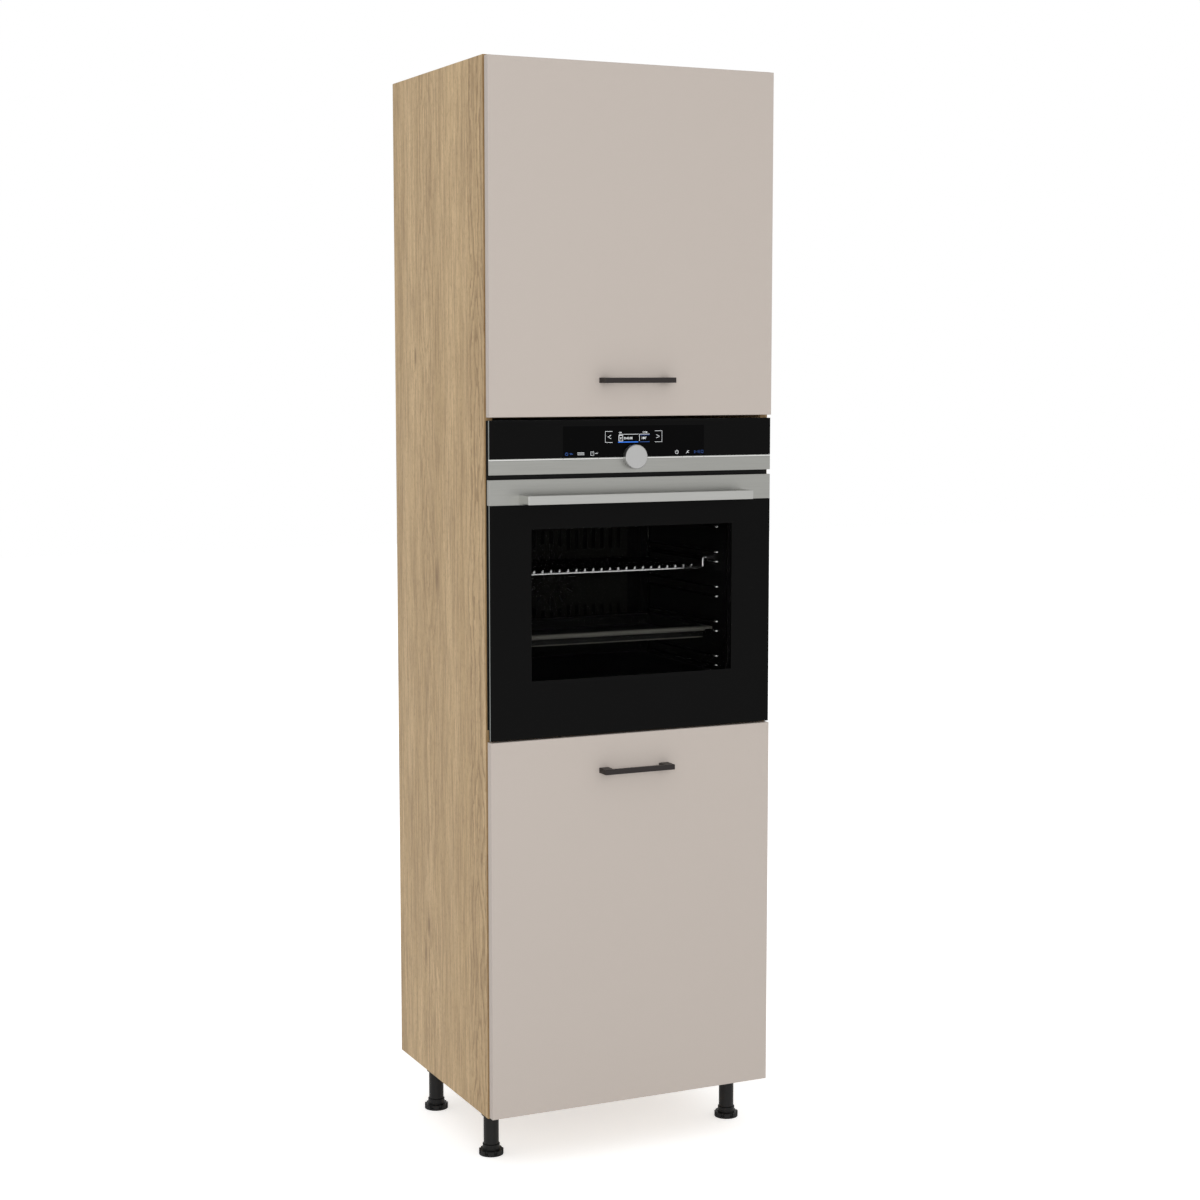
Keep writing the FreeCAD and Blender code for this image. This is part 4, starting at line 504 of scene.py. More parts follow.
def lit(name, tint, strength):
    """Make a lit mark of the display, a little uneven."""
    made = new_material(name, Roughness=0.5, Emission_Strength=strength)
    shade = clouded(made, 700.0, tint, 0.8, 1)
    for socket in ("Emission Color", "Base Color"):
        made[1].links.new(shade, made[2].inputs[socket])
    return made[0]


OAK_KNOTS = (
    ((-0.3, 0.152, 1.553), 0.014),
    ((-0.3, 0.040, 1.119), 0.024),
    ((-0.3, 0.100, 0.407), 0.015),
    ((-0.3, 0.120, 0.343), 0.014),
)


def seen_directly(tree):
    """Return 1 for rays that come straight, mirrored or through glass from the camera and 0 for others."""
    rays = tree.nodes.new("ShaderNodeLightPath").outputs
    seen = math_node(tree, "MAXIMUM", rays["Is Camera Ray"], rays["Is Glossy Ray"])
    return math_node(tree, "MAXIMUM", seen, rays["Is Transmission Ray"])


def finishes():
    """Return the makers and, for each slot or finish, the values that its maker takes."""
    own = colours()
    bright_wire, painted_shade_wire, dark_tray = screen(246, 246, 246), screen(40, 40, 39), screen(20, 20, 19)
    steel, pane, wire = tuple(own.steel), screen(8, 8, 8), (900, 40, 900)
    # Painted shade: the shelf's and the racks' wires darken behind their front ends, standing in for the dark
    # inside of the oven.
    shelf_painted_shade = (("Y", -0.1165, 1.0, 0.006, painted_shade_wire),)
    rack_painted_shade = (("Y", -0.1600, 1.0, 0.006, painted_shade_wire),)
    strip_bands = (("Z", 1.3592, 1.3640, 0.0002, screen(206, 206, 203)),
                   ("Z", 1.3586, 1.3594, 0.0002, screen(96, 96, 94)))
    # Painted highlights on the tray: a lighter band along the top of its rim and a lighter line at the bottom
    # edge of its dish; the last band keeps the rear in the tray's own dark enamel, so the highlights show
    # only at the front.
    tray_painted_highlights = (("Z", 1.0094, 1.1, 0.0006, screen(116, 115, 108)),
                  ("Z", 0.9940, 0.9980, 0.0006, screen(100, 99, 92)),
                  ("Y", -0.1290, 1.0, 0.003, dark_tray))
    return {
        oak: {
            "oak_decor": ("Oak, upright", "z", OAK_KNOTS),
            "oak_level": ("Oak, lying", "x"),
            "back_board": ("Oak, back board", "z"),
        },
        coated: {
            "front_lacquer": ("Front lacquer", 0.3, tuple(own.front), 0.52, 1400, 0.012, 0.000015),
            "dark_handle": ("Handle paint", 0.2, tuple(own.pull), 0.46, 2600, 0.12, 0.00003),
            "leg_plastic": ("Leg plastic", 0.22, tuple(own.leg), 0.50, 1700, 0.18, 0.00005),
            "strut_tube_paint": ("Strut paint", 0.5, screen(150, 152, 154), 0.38, 1800, 0.06),
            "drawer_board": ("Drawer board", 0.5, screen(205, 198, 189), 0.50, 1100, 0.03),
            "cavity_enamel": ("Oven enamel", 0.06, screen(13, 12, 11), 0.34, 500, 0.6, 0.00003),
            "cover_enamel": ("Cover enamel", 0.06, screen(30, 29, 26), 0.40, 500, 0.4, 0.00003),
            "tray_enamel": ("Tray enamel", 0.1, dark_tray, 0.40, 700, 0.15, 0.00003, tray_painted_highlights),
            "seal_rubber": ("Seal rubber", 0.2, screen(22, 22, 22), 0.62, 1500, 0.2, 0.00005),
            "black_frame": ("Black frame plastic", 0.15, screen(13, 13, 13), 0.55, 1500, 0.25, 0.00004),
            "glass_edge": ("Ground glass edge", 0.5, screen(120, 126, 124), 0.5, 900, 0.08),
        },
        brushed: {
            "zinc_plated": ("Zinc plate", screen(186, 188, 190), 0.34, (420, 60, 420), 0.10),
            "polished_rod": ("Chrome wire", screen(232, 233, 234), 0.12, wire, 0.04),
            "shelf_wire": ("Shelf wire", bright_wire, 0.16, wire, 0.04, shelf_painted_shade),
            "rack_wire": ("Rack wire", bright_wire, 0.16, wire, 0.04, rack_painted_shade),
            "galvanised": ("Galvanised sheet", screen(170, 173, 176), 0.44, (60, 60, 60), 0.16),
            # Painted shade: the fan's steel is darkened so that it stays dark behind the holes of its cover.
            "fan_steel": ("Fan sheet", screen(44, 43, 41), 0.40, (90, 400, 90), 0.10),
            "heater_steel": ("Heater rod", screen(96, 90, 84), 0.40, (300, 30, 300), 0.22),
            "satin_steel": ("Satin steel", steel, 0.36, (12, 900, 900), 0.05),
            "steel_strip": ("Strip steel", steel, 0.36, (12, 900, 900), 0.05, strip_bands),
            "steel_handle": ("Handle steel", screen(170, 170, 167), 0.34, (10, 800, 800), 0.04),
            "steel_knob": ("Turned steel", screen(172, 172, 171), 0.40, (700, 60, 700), 0.03),
            "dark_screw": ("Black screw", screen(52, 52, 54), 0.40, (500, 500, 60), 0.2),
        },
        clear_glass: {
            "lamp_glass": ("Lamp glass", screen(232, 230, 220), 0.55, 0.08),
            "inner_glass": ("Inner pane", pane, 0.08),
            "window_glass": ("Window pane", pane, 0.12),
        },
        lit: {
            "white_mark": ("White mark", tuple(own.mark), 0.75),
            "blue_mark": ("Blue mark", tuple(own.display), 1.0),
            "dim_blue_mark": ("Dim blue mark", screen(34, 72, 138), 0.8),
        },
        panel_glass: {"black_glass": ()},
        door_glass: {"door_print": ()},
    }


MADE = {}


def finish(name):
    """Return the material of a slot or finish, made the first time it is asked for."""
    if name not in MADE:
        for maker, rows in finishes().items():
            if name in rows:
                MADE[name] = maker(*rows[name])
    return MADE[name]


# Mesh helpers

def paint(node, name=None):
    """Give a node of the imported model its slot's material, or a finish by name."""
    data = frame["nodes"][node].data
    data.materials.clear()
    data.materials.append(finish(name or SLOT_OF[node]))


def new_piece(name, mesh, slot, body, material=None):
    """Link a finished mesh as a piece that rides on a body."""
    piece = linked(name, mesh)
    mesh.materials.clear()
    mesh.materials.append(finish(material or slot))
    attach(piece, body)
    return piece


def plain(piece):
    """Return a copy of a piece's mesh with its modifiers applied."""
    bpy.context.view_layer.update()
    graph = bpy.context.evaluated_depsgraph_get()
    return bpy.data.meshes.new_from_object(piece.evaluated_get(graph), depsgraph=graph)


def dressed(node, width=0.0, material=None, shortest=0.004, segments=2):
    """Stand a smooth-shaded copy of a node, its long sharp edges rounded, in for the node."""
    mesh = frame["nodes"][node].data.copy()
    work = bmesh.new()
    work.from_mesh(mesh)
    bmesh.ops.remove_doubles(work, verts=work.verts, dist=1e-6)
    bmesh.ops.dissolve_limit(work, angle_limit=FLAT_ANGLE, verts=work.verts, edges=work.edges)
    weights = work.edges.layers.float.new("bevel_weight_edge")
    for face in work.faces:
        face.smooth = True
    for edge in work.edges:
        turn = edge.calc_face_angle(0) if len(edge.link_faces) == 2 else math.pi
        edge.smooth = turn < SHARP_ANGLE
        edge[weights] = 1.0 if turn > BEVEL_ANGLE and edge.calc_length() > shortest else 0.0
    work.to_mesh(mesh)
    work.free()
    piece = linked(node + "_form", mesh)
    if width:
        bevel = piece.modifiers.new("Edges", "BEVEL")
        bevel.limit_method = "WEIGHT"
        bevel.width = width
        bevel.segments = segments
        bevel.use_clamp_overlap = True
    weighted = piece.modifiers.new("Normals", "WEIGHTED_NORMAL")
    weighted.keep_sharp = True
    final = plain(piece)
    bpy.data.objects.remove(piece)
    made = new_piece(node + "_form", final, SLOT_OF[node], BODY_OF[node], material)
    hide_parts(node)
    return made


def edged(piece, material):
    """Give the outer edges of an upright pane a second material."""
    mesh = piece.data
    mesh.materials.append(finish(material))
    corners = [[vert.co[axis] for vert in mesh.vertices] for axis in (0, 2)]
    limits = [(axis, limit) for axis, places in zip((0, 2), corners)
              for limit in (min(places), max(places))]
    for face in mesh.polygons:
        outer = any(abs(face.center[axis] - limit) < 0.0001 for axis, limit in limits)
        face.material_index = 1 if outer else 0


def corner_points(name):
    """Return a node's low and high corners."""
    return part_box(name)


def inset_corners(low, high, y, inset):
    """Return the four corners of an upright face, moved in towards its middle."""
    return [(x, y, z) for x in (low.x + inset, high.x - inset) for z in (low.z + inset, high.z - inset)]


def slab(work, low, high):
    """Add a box to a mesh being built."""
    middle = (Vector(low) + Vector(high)) / 2
    span = Vector(high) - Vector(low)
    for vert in bmesh.ops.create_cube(work, size=1)["verts"]:
        vert.co = middle + Vector(part * size for part, size in zip(vert.co, span))


def finished(work, name):
    """Turn a mesh being built into mesh data that is smooth but for its sharp edges."""
    bmesh.ops.recalc_face_normals(work, faces=work.faces)
    for face in work.faces:
        face.smooth = True
    for edge in work.edges:
        edge.smooth = len(edge.link_faces) == 2 and edge.calc_face_angle(0) < SHARP_ANGLE
    mesh = bpy.data.meshes.new(name)
    work.to_mesh(mesh)
    work.free()
    return mesh


# Geometry Nodes

def geometry_tree(name, inputs):
    """Make a Geometry Nodes tree with a geometry input and output and further named inputs."""
    return new_tree("GeometryNodeTree", name, [("Geometry", "Geometry", None)] + inputs,
                    [("Geometry", "Geometry")])


def close_tree(tree, result, geometry, material):
    """End a tree: real geometry in one material."""
    real = output(tree, "GeometryNodeRealizeInstances", Geometry=geometry)
    painted = output(tree, "GeometryNodeSetMaterial", Geometry=real, Material=material)
    tree.links.new(painted, result["Geometry"])


def on_points(tree, given, shape, **inputs):
    """Set a shape on every point of the tree's geometry."""
    return output(tree, "GeometryNodeInstanceOnPoints", Points=given["Geometry"], Instance=shape, **inputs)


def line_tree():
    """Build the tree that turns edges into flat printed lines, for marks in a plane that faces -Y."""
    tree, given, result = geometry_tree(
        "Printed lines", [("Width", "Float", 0.001), ("Height", "Float", 0.0001),
                          ("Material", "Material", None)])
    path = output(tree, "GeometryNodeMeshToCurve", Mesh=given["Geometry"])
    upright = output(tree, "GeometryNodeSetCurveNormal", {"mode": "FREE"}, Curve=path, Normal=(0, 1, 0))
    profile = output(tree, "GeometryNodeCurvePrimitiveQuadrilateral", Width=given["Height"],
                     Height=given["Width"])
    ribbon = output(tree, "GeometryNodeCurveToMesh", Curve=upright, Profile_Curve=profile, Fill_Caps=True)
    close_tree(tree, result, ribbon, given["Material"])
    return tree


def screw_tree():
    """Build the tree that sets a cross-slotted screw head on every point."""
    tree, given, result = geometry_tree(
        "Screw heads", [("Radius", "Float", 0.003), ("Height", "Float", 0.001), ("Turn", "Rotation", None),
                        ("Material", "Material", None)])
    wide = output(tree, "GeometryNodeMeshCone", Vertices=20, Radius_Top=times(tree, given["Radius"], 0.72),
                  Radius_Bottom=given["Radius"], Depth=given["Height"])
    slot_length = times(tree, given["Radius"], 1.0)
    slot_width = times(tree, given["Radius"], 0.22)
    slots = []
    for first, second in ((slot_length, slot_width), (slot_width, slot_length)):
        shape = joined(tree, X=first, Y=second, Z=given["Height"])
        cube = output(tree, "GeometryNodeMeshCube", Size=shape)
        lift = joined(tree, Z=times(tree, given["Height"], 0.95))
        slots.append(output(tree, "GeometryNodeTransform", Geometry=cube, Translation=lift))
    cross = add(tree, "GeometryNodeMeshBoolean", {"operation": "UNION", "solver": "EXACT"})
    for cube in slots:
        tree.links.new(cube, cross.inputs["Mesh 2"])
    head = add(tree, "GeometryNodeMeshBoolean", {"operation": "DIFFERENCE", "solver": "EXACT"}, i0=wide)
    tree.links.new(cross.outputs[0], head.inputs["Mesh 2"])
    turned = on_points(tree, given, head.outputs[0], Rotation=given["Turn"])
    close_tree(tree, result, turned, given["Material"])
    return tree


def ball_tree():
    """Build the tree that sets a small rounded end or ball on every point."""
    tree, given, result = geometry_tree("Balls", [("Radius", "Float", 0.002), ("Material", "Material", None)])
    ball = output(tree, "GeometryNodeMeshIcoSphere", Radius=given["Radius"], Subdivisions=2)
    smooth = output(tree, "GeometryNodeSetShadeSmooth", Geometry=ball)
    placed = on_points(tree, given, smooth)
    close_tree(tree, result, placed, given["Material"])
    return tree


def louvre_tree():
    """Build the tree that sets a capped round tube along X on every point, to stand half out of a sheet as a
    pressed louvre.
    """
    tree, given, result = geometry_tree(
        "Louvres", [("Length", "Float", 0.05), ("Radius", "Float", 0.003), ("Material", "Material", None)])
    start = joined(tree, X=times(tree, given["Length"], -0.5))
    end = joined(tree, X=times(tree, given["Length"], 0.5))
    path = output(tree, "GeometryNodeCurvePrimitiveLine", Start=start, End=end)
    circle = output(tree, "GeometryNodeCurvePrimitiveCircle", Resolution=14, Radius=given["Radius"])
    hood = output(tree, "GeometryNodeCurveToMesh", Curve=path, Profile_Curve=circle, Fill_Caps=True)
    placed = on_points(tree, given, hood)
    close_tree(tree, result, placed, given["Material"])
    return tree


TREES = {}


def grown(name, maker, points, slot, body, material=None, edges=(), **inputs):
    """Run a Geometry Nodes tree on points or edges and link the result as a plain piece."""
    if maker not in TREES:
        TREES[maker] = maker()
    tree = TREES[maker]
    seed = bpy.data.meshes.new(name + "_seed")
    seed.from_pydata([tuple(point) for point in points], list(edges), [])
    holder = linked(name + "_seed", seed)
    modifier = holder.modifiers.new("Grow", "NODES")
    modifier.node_group = tree
    values = dict(inputs, Material=finish(material or slot))
    for socket in tree.interface.items_tree:
        if socket.in_out == "INPUT" and socket.name in values:
            modifier[socket.identifier] = values[socket.name]
    mesh = plain(holder)
    bpy.data.objects.remove(holder)
    return new_piece(name, mesh, slot, body, material)


def screws(name, points, body, turn, slot="zinc_plated", material=None, radius=None, height=None):
    """Set screw heads on points; turn is the Euler rotation that points +Z away from the surface."""
    return grown(name, screw_tree, points, slot, body, material, Radius=radius or sizes().screw_radius,
                 Height=height or sizes().screw_height, Turn=turn)


FACING_REAR = (-math.pi / 2, 0, 0)
FACING_FRONT = (math.pi / 2, 0, 0)
FACING_LEFT = (0, -math.pi / 2, 0)
FACING_RIGHT = (0, math.pi / 2, 0)
FACING_DOWN = (math.pi, 0, 0)


class Step(bpy.types.Operator):
    """Shared part of every step: run its work and report that it finished."""
    bl_options = {"REGISTER", "UNDO"}

    def execute(self, context):
        """Do the step's work."""
        self.work()
        return {"FINISHED"}


class UNIT_OT_stage(Step):
    """Set the camera, the pale floor and the soft light"""
    bl_idname = "unit.stage"
    bl_label = "Stage and camera"

    def work(self):
        """Make the stage."""
        scene = bpy.context.scene
        scene.view_settings.view_transform = "Standard"
        self.aim_camera(scene, scene.unit_stage)
        self.light_world(scene, scene.unit_stage.ambient)
        self.lay_floor()
        self.hang_lamp(Vector((-2.2, -6.0, 1.9)), Vector((0, -0.1, 1.1)), scene.unit_stage.key)

    def aim_camera(self, scene, settings):
        """Place the camera at the view of the photograph."""
        yaw, pitch = settings.camera_yaw, settings.camera_pitch
        ahead = Vector((math.sin(yaw) * math.cos(pitch), math.cos(yaw) * math.cos(pitch), -math.sin(pitch)))
        right = Vector((math.cos(yaw), -math.sin(yaw), 0))
        up = right.cross(ahead)
        data = bpy.data.cameras.new("Camera")
        data.sensor_width = 36
        data.lens = settings.lens
        turn = Matrix((right, up, -ahead)).transposed().to_4x4()
        camera = linked("Camera", data)
        camera.matrix_world = Matrix.Translation(settings.camera_place) @ turn
        scene.camera = camera

    def light_world(self, scene, strength):
        """Light the scene evenly, with a white background."""
        world = bpy.data.worlds.new("Studio")
        world.use_nodes = True
        scene.world = world
        tree = world.node_tree
        ambient = tree.nodes["Background"]
        ambient.inputs["Color"].default_value = (1.0, 0.997, 0.99, 1)
        ambient.inputs["Strength"].default_value = strength
        white = add(tree, "ShaderNodeBackground", Color=(1, 1, 1, 1), Strength=1.0)
        both = add(tree, "ShaderNodeMixShader", i0=seen_directly(tree), i1=ambient.outputs[0],
                   i2=white.outputs[0])
        tree.links.new(both.outputs[0], tree.nodes["World Output"].inputs["Surface"])

    def lay_floor(self):
        """Lay the pale floor, white to the camera where no shadow falls."""
        mesh = bpy.data.meshes.new("Floor")
        reach = 14.0
        corners = [(-reach, -reach, 0), (reach, -reach, 0), (reach, reach, 0), (-reach, reach, 0)]
        mesh.from_pydata(corners, [], [(0, 1, 2, 3)])
        floor = linked("Floor", mesh)
        material, tree, shader, place = new_material("Floor paint", Roughness=0.9, Specular_IOR_Level=0.0)
        cloud = noise(tree, place, 2.0, 2)
        paler = mix(tree, cloud, (0.86, 0.86, 0.86), (0.90, 0.90, 0.90))
        tree.links.new(paler, shader.inputs["Base Color"])
        glow = add(tree, "ShaderNodeEmission", Strength=times(tree, seen_directly(tree), 0.56))
        both = add(tree, "ShaderNodeAddShader", i0=shader.outputs[0], i1=glow.outputs[0])
        tree.links.new(both.outputs[0], tree.nodes["Material Output"].inputs["Surface"])
        mesh.materials.append(material)

    def hang_lamp(self, place, target, power):
        """Hang a large square lamp that faces a target."""
        data = bpy.data.lights.new("Key lamp", "AREA")
        data.shape = "SQUARE"
        data.size = 3.4
        data.energy = power
        lamp = linked("Key lamp", data)
        lamp.location = place
        lamp.rotation_euler = (target - place).to_track_quat("-Z", "Y").to_euler()


class UNIT_OT_boards(Step):
    """Dress the carcass boards, the backs and the drawer box"""
    bl_idname = "unit.boards"
    bl_label = "Boards"

    def work(self):
        """Make the boards."""
        edge = sizes().edge
        for node in ("side_panel_left", "side_panel_right"):
            dressed(node, edge, shortest=0.1)
        for node in ("top_panel", "bottom_panel", "oven_shelf", "niche_top_shelf", "adjustable_shelf",
                     "rear_stretcher"):
            dressed(node, edge, "oak_level", shortest=0.1)
        for node in ("back_panel_upper", "back_panel_lower"):
            paint(node)
        for node in ("drawer_bottom", "drawer_side_left", "drawer_side_right", "drawer_back"):
            dressed(node, edge, shortest=0.1)


class UNIT_OT_fronts(Step):
    """Dress the two lacquered fronts"""
    bl_idname = "unit.fronts"
    bl_label = "Fronts"

    def work(self):
        """Make the fronts."""
        for node in ("upper_front", "drawer_front"):
            dressed(node, sizes().front_edge, shortest=0.1, segments=3)


class UNIT_OT_pulls(Step):
    """Dress the two dark bridge handles"""
    bl_idname = "unit.pulls"
    bl_label = "Cabinet handles"

    def work(self):
        """Make the handles."""
        for node in ("upper_handle", "drawer_handle"):
            dressed(node)


class UNIT_OT_fittings(Step):
    """Dress hinges, struts, runners, rails and pins, and set their screws"""
    bl_idname = "unit.fittings"
    bl_label = "Fittings"

    def work(self):
        """Make the fittings."""
        for node in ("shelf_pins", "cam_fittings", "hinge_cups", "hinge_arms", "strut_anchors", "strut_studs",
                     "strut_tubes", "strut_rods", "gallery_rails", "runner_outer", "runner_middle",
                     "runner_inner"):
            dressed(node, sizes().fitting_edge)
        rear = corner_points("hinge_cups")[1].y
        cups = [(side * 0.200 + step * 0.024, rear, 2.0745) for side in (-1, 1) for step in (-1, 1)]
        screws("hinge_cup_screws", cups, "flap", FACING_REAR)
        plates = [(side * 0.200 + step * 0.017, -0.172, 2.080) for side in (-1, 1) for step in (-1, 1)]
        screws("hinge_plate_screws", plates, "carcass", FACING_DOWN)
        for side, x, turn in (("left", -0.282, FACING_RIGHT), ("right", 0.282, FACING_LEFT)):
            corners = [(x, -0.047 + y, 2.012 + z) for y in (-0.010, 0.010) for z in (-0.010, 0.010)]
            screws("strut_anchor_screws_" + side, corners, "carcass", turn, radius=2.4 * MM)


class UNIT_OT_legs(Step):
    """Dress the legs, their sockets and their feet"""
    bl_idname = "unit.legs"
    bl_label = "Legs"

    def work(self):
        """Make the legs."""
        for node in ("leg_sockets", "leg_tubes", "foot_front_left", "foot_front_right", "foot_rear_left",
                     "foot_rear_right"):
            dressed(node, sizes().leg_edge, shortest=0.002)
        spots = [(x + 0.027 * math.cos(turn), y + 0.027 * math.sin(turn), 0.097)
                 for x in (-0.261, 0.261) for y in (-0.130, 0.170)
                 for turn in (math.pi / 4, math.pi * 3 / 4, math.pi * 5 / 4, math.pi * 7 / 4)]
        screws("leg_socket_screws", spots, "carcass", FACING_DOWN)


def rectangle(first_x, last_x, first_z, last_z):
    """Return a closed path along the four sides of a rectangle."""
    return [(first_x, first_z), (last_x, first_z), (last_x, last_z), (first_x, last_z), (first_x, first_z)]


class UNIT_OT_control_panel(Step):
    """Dress the control panel and its knob, and print the display's marks"""
    bl_idname = "unit.control_panel"
    bl_label = "Control panel"

    def work(self):
        """Make the panel."""
        edged(dressed("control_panel_glass"), "glass_edge")
        dressed("control_panel_strip", sizes().strip_edge, "steel_strip")
        dressed("control_housing", sizes().oven_edge)
        dressed("control_knob", 0.0, "steel_knob")
        self.face = corner_points("control_panel_glass")[0].y
        self.print_keys()
        self.print_display()

    def lines(self, name, paths, width, material="white_mark"):
        """Print lines along paths given in millimetres across and up."""
        points, edges = [], []
        for path in paths:
            first = len(points)
            points += [(x * MM, self.face, z * MM) for x, z in path]
            edges += [(first + index, first + index + 1) for index in range(len(path) - 1)]
        return grown(name, line_tree, points, "black_glass", "carcass", material, edges, Width=width * MM,
                     Height=2 * sizes().print_height)

    def words(self, name, text, x, z, height):
        """Print figures whose lower left corner is at x and z, in millimetres."""
        curve = bpy.data.curves.new(name, "FONT")
        curve.body = text
        curve.size = height * MM * 1.42
        curve.extrude = sizes().print_height
        holder = linked(name + "_letters", curve)
        mesh = plain(holder)
        bpy.data.objects.remove(holder)
        place = Matrix.Translation((x * MM, self.face, z * MM))
        mesh.transform(place @ Matrix.Rotation(math.pi / 2, 4, "X"))
        return new_piece(name, mesh, "black_glass", "carcass", "white_mark")

    def print_keys(self):
        """Print the arrow keys, the small symbols beside the knob and the ticks on the strip's edge."""
        keys, arrows = [], []
        for side in (-1, 1):
            keys.append(rectangle(45 * side, 60 * side, 1411.5, 1390.5)[:4])
            arrows.append([(48 * side, 1404.2), (54.5 * side, 1401), (48 * side, 1397.8)])
        self.lines("arrow_key_frames", keys, 0.62)
        self.lines("arrow_keys", arrows, 0.85)
        ring = [(92 + 3.4 * math.cos(math.tau * step / 20), 1370.2 + 3.4 * math.sin(math.tau * step / 20))
                for step in range(21)]
        hands = [(92, 1372.4), (92, 1370.2), (93.8, 1370.2)]
        menu = [[(-118, z), (-104, z)] for z in (1372.2, 1370.2, 1368.2)]
        door = [[(-90.5, 1366.8), (-90.5, 1373.6), (-84, 1373.6), (-84, 1366.8), (-90.5, 1366.8)],
                [(-88.5, 1371.4), (-86, 1371.4)], [(-82, 1370.2), (-76, 1370.2), (-76, 1371.8)],
                [(-78.4, 1370.2), (-78.4, 1371.6)]]
        probe = [[(112, 1367.6), (114.2, 1369.6), (118.6, 1373.4)], [(114.2, 1369.6), (118.4, 1368.6)],
                 [(115.4, 1372.6), (114.2, 1369.6)]]
        self.lines("key_symbols", [ring, hands] + menu + door + probe, 0.55)
        play = [[(130, 1367.6), (130, 1373), (134.6, 1370.3), (130, 1367.6)], [(138, 1367.6), (138, 1373)],
                [(140.6, 1367.6), (140.6, 1373)], rectangle(144.6, 149, 1367.8, 1372.8)]
        power = [(-140.5 + 2.8 * math.sin(math.tau * step / 20), 1370 + 2.8 * math.cos(math.tau * step / 20))
                 for step in range(2, 19)]
        wave = [(-134 + 0.5 * step, 1370 + 1.3 * math.sin(math.tau * step / 6)) for step in range(13)]
        power_bar = [(-140.5, 1370.5), (-140.5, 1373.6)]
        self.lines("blue_symbols", play + [power, power_bar, wave], 0.6, "dim_blue_mark")
        ticks = [[(x, 1359.8), (x, 1362.4)] for x in (-148, -123, -74, 104, 127, 151)]
        self.lines("strip_ticks", ticks, 0.5, "dark_screw")

    def print_display(self):
        """Print the display: a fan symbol, a running time, a temperature, a clock and their rules."""
        top, low = 1405.6, 1390.9
        rules = [[(-31.5, top), (10, top)], [(13, top), (33.5, top)], [(12, top), (12, low + 1.5)]]
        self.lines("display_rules", rules, 0.6)
        self.lines("display_bar", [[(-33, low), (9.5, low)]], 1.6, "blue_mark")
        dim_bars = [[(12.5, z), (33.5, z)] for z in (low, top - 1.4)]
        self.lines("display_bar_dim", dim_bars, 0.8, "dim_blue_mark")
        self.lines("display_box", [rectangle(-31.4, -23.4, 1403.6, 1393)], 1.0)
        fan = []
        for blade in range(3):
            turn = math.tau * blade / 3
            fan.append([(-27.4 + reach * math.cos(turn + bend), 1398.3 + reach * math.sin(turn + bend))
                        for reach, bend in ((0.3, 0.0), (1.3, 0.25), (2.3, 0.8))])
        self.lines("display_fan", fan, 0.9)
        self.words("display_timer", "0:45:00", -20.5, 1396.2, 4.3)
        self.words("display_degrees", "180°", 16, 1396.2, 4.3)
        self.words("display_clock", "12:30", 18.5, 1407.6, 3.2)
        self.words("display_state", "ON", -31.5, 1407.6, 2.6)


class UNIT_OT_oven_door(Step):
    """Dress the oven's door: printed pane, window, steel band, handle"""
    bl_idname = "unit.oven_door"
    bl_label = "Oven door"

    def work(self):
        """Make the door."""
        dressed("oven_door_band", sizes().oven_edge)
        dressed("oven_door_handle", 0.0, "steel_handle")
        dressed("oven_door_frame", sizes().oven_edge)
        paint("oven_door_inner_glass")
        low, high = corner_points("oven_door_glass")
        window_low = Vector((-0.213, low.y, 0.943))
        window_high = Vector((0.213, high.y, 1.230))
        whole, window = (low.z, high.z), (window_low.x, window_high.x)
        border = (((low.x, window_low.x), whole), ((window_high.x, high.x), whole),
                  (window, (low.z, window_low.z)), (window, (window_high.z, high.z)))
        work = bmesh.new()
        for across, upward in border:
            slab(work, (across[0], low.y, upward[0]), (across[1], high.y, upward[1]))
        bmesh.ops.remove_doubles(work, verts=work.verts, dist=1e-7)
        edged(self.pane(work, "door_pane_printed", "door_print"), "glass_edge")
        work = bmesh.new()
        slab(work, window_low, window_high)
        self.pane(work, "door_pane_window", "window_glass")

    def pane(self, work, name, material):
        """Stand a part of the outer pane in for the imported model's glass."""
        piece = new_piece(name, finished(work, name), "black_glass", "oven_door", material)
        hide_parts("oven_door_glass")
        return piece


class UNIT_OT_oven_inside(Step):
    """Dress the cavity with its racks, shelf, tray, fan, grill and lamp"""
    bl_idname = "unit.oven_inside"
    bl_label = "Oven inside"

    def work(self):
        """Make the inside."""
        for node in ("oven_cavity", "oven_lamp", "oven_gasket"):
            paint(node)
        paint("fan_cover", "cover_enamel")
        dressed("baking_tray", sizes().tray_edge, "tray_enamel", shortest=0.02)
        self.roll_tray_edge()
        dressed("side_racks", 0.0, "rack_wire")
        dressed("wire_shelf", 0.0, "shelf_wire")
        for node in ("grill_element", "convection_fan"):
            dressed(node)
        low = corner_points("wire_shelf")[0]
        ends = [(step * 18 * MM, low.y + 3.4 * MM, low.z + 8.9 * MM) for step in range(-10, 11)]
        grown("shelf_wire_ends", ball_tree, ends, "polished_rod", "carcass", "shelf_wire", Radius=2.2 * MM)
        low, high = corner_points("fan_cover")
        corners = inset_corners(low, high, low.y, 10 * MM)
        screws("fan_cover_screws", corners, "carcass", FACING_FRONT, "cavity_enamel", "dark_screw")

    def roll_tray_edge(self):
        """Roll the front of the tray's rim down into a thicker bead."""
        low, high = corner_points("baking_tray")
        bead = bmesh.new()
        slab(bead, (-0.198, low.y - 0.6 * MM, high.z - 8.2 * MM),
             (0.198, low.y + 7 * MM, high.z + 0.2 * MM))
        along = [edge for edge in bead.edges if abs(edge.verts[0].co.x - edge.verts[1].co.x) > 0.1]
        bmesh.ops.bevel(bead, geom=along, offset=3.2 * MM, segments=6, affect="EDGES", profile=0.5)
        new_piece("tray_front_bead", finished(bead, "tray_front_bead"), "cavity_enamel", "carcass",
                  "tray_enamel")


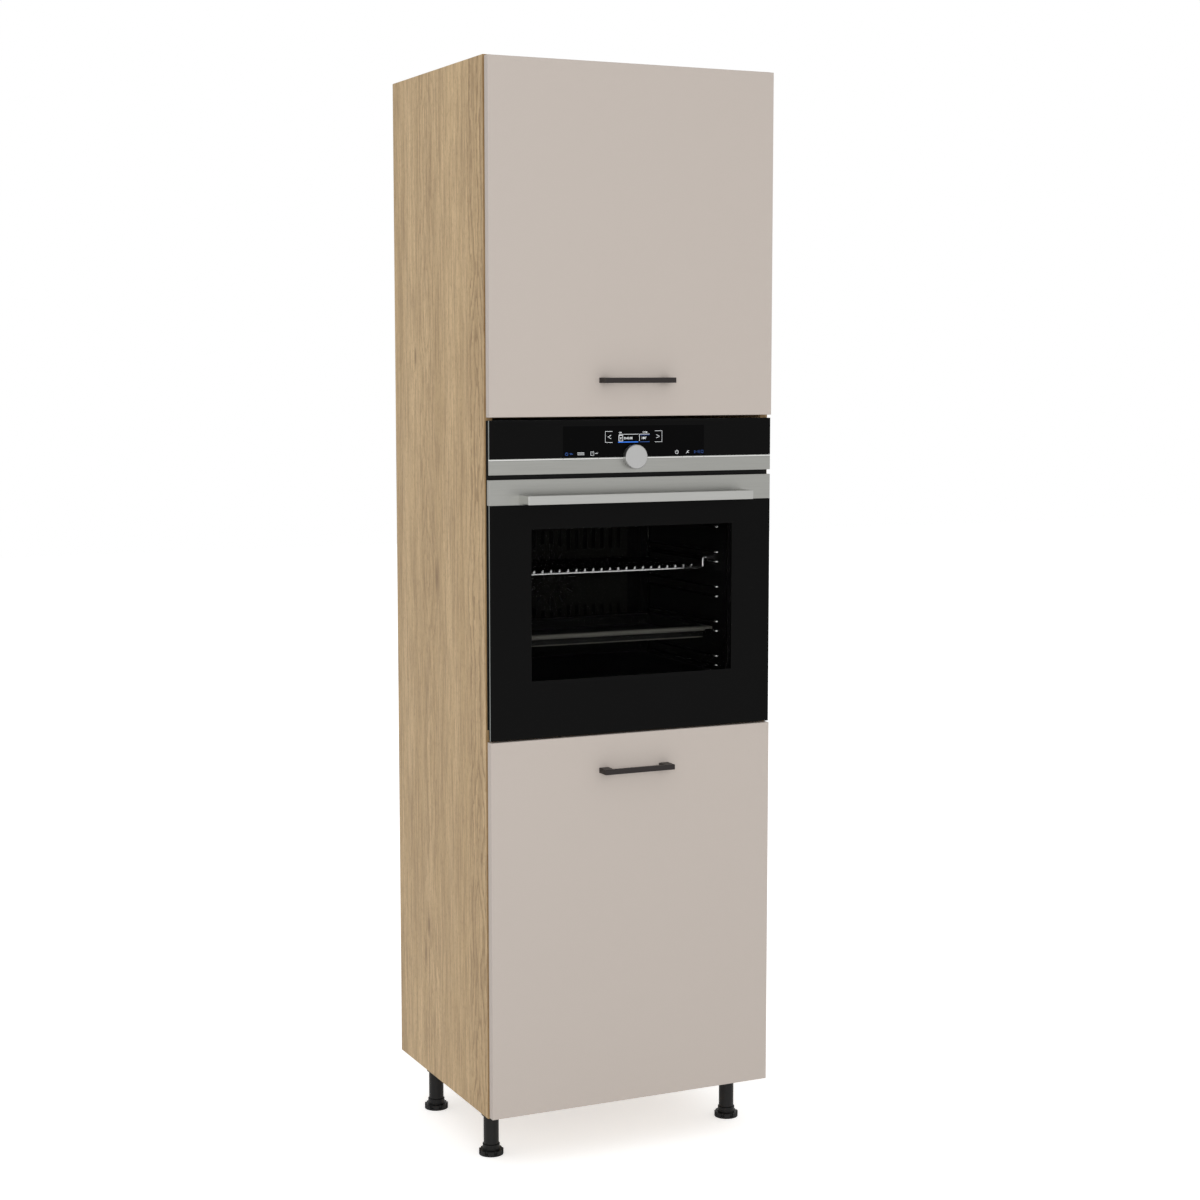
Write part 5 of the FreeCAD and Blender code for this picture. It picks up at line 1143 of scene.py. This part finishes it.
class UNIT_OT_oven_body(Step):
    """Dress the oven's frame, casing, motor, terminal box and hinge arms"""
    bl_idname = "unit.oven_body"
    bl_label = "Oven body"

    def work(self):
        """Make the body."""
        paint("oven_casing")
        for node in ("oven_front_frame", "terminal_box", "oven_hinge_arms", "fan_motor"):
            dressed(node, sizes().oven_edge)
        low, high = corner_points("oven_casing")
        spots = [(x, high.y, z) for x in (low.x + 9 * MM, high.x - 9 * MM)
                 for z in (0.850, 1.040, 1.230, 1.330)]
        screws("casing_screws", spots, "carcass", FACING_REAR, "galvanised", "dark_screw")
        hoods = [(x, high.y, 1.160 + row * 0.022) for x in (-0.010, 0.110) for row in range(8)]
        grown("casing_louvres", louvre_tree, hoods, "galvanised", "carcass", Length=0.085, Radius=4 * MM)
        low, high = corner_points("terminal_box")
        lid = inset_corners(low, high, high.y, 7 * MM)
        screws("terminal_box_screws", lid, "carcass", FACING_REAR, "galvanised", "dark_screw", 2.6 * MM)


STEPS = (UNIT_OT_stage, UNIT_OT_boards, UNIT_OT_fronts, UNIT_OT_pulls, UNIT_OT_fittings, UNIT_OT_legs,
         UNIT_OT_control_panel, UNIT_OT_oven_door, UNIT_OT_oven_inside, UNIT_OT_oven_body)


class UNIT_PT_steps(bpy.types.Panel):
    """List the steps and the settings in the sidebar."""
    bl_idname = "UNIT_PT_steps"
    bl_label = "Tall Oven Unit"
    bl_space_type = "VIEW_3D"
    bl_region_type = "UI"
    bl_category = "Tall Oven Unit"

    def draw(self, context):
        """Draw the panel."""
        for step in STEPS:
            self.layout.operator(step.bl_idname)
        for group in (context.scene.unit_colours, context.scene.unit_sizes, context.scene.unit_stage):
            for name in group.bl_rna.properties.keys():
                if name not in ("rna_type", "name"):
                    self.layout.prop(group, name)


SETTINGS = {"unit_colours": UnitColours, "unit_sizes": UnitSizes, "unit_stage": StageSettings}


def register():
    """Register the settings, the steps and the panel."""
    for name, kind in SETTINGS.items():
        bpy.utils.register_class(kind)
        setattr(bpy.types.Scene, name, bpy.props.PointerProperty(type=kind))
    for step in (*STEPS, UNIT_PT_steps):
        bpy.utils.register_class(step)


def unregister():
    """Take back what register did."""
    for step in (UNIT_PT_steps, *reversed(STEPS)):
        bpy.utils.unregister_class(step)
    for name, kind in SETTINGS.items():
        delattr(bpy.types.Scene, name)
        bpy.utils.unregister_class(kind)


def main():
    """Dress the whole unit."""
    register()
    for step in STEPS:
        getattr(bpy.ops.unit, step.bl_idname.split(".")[1])()


if __name__ == "__main__":
    main()
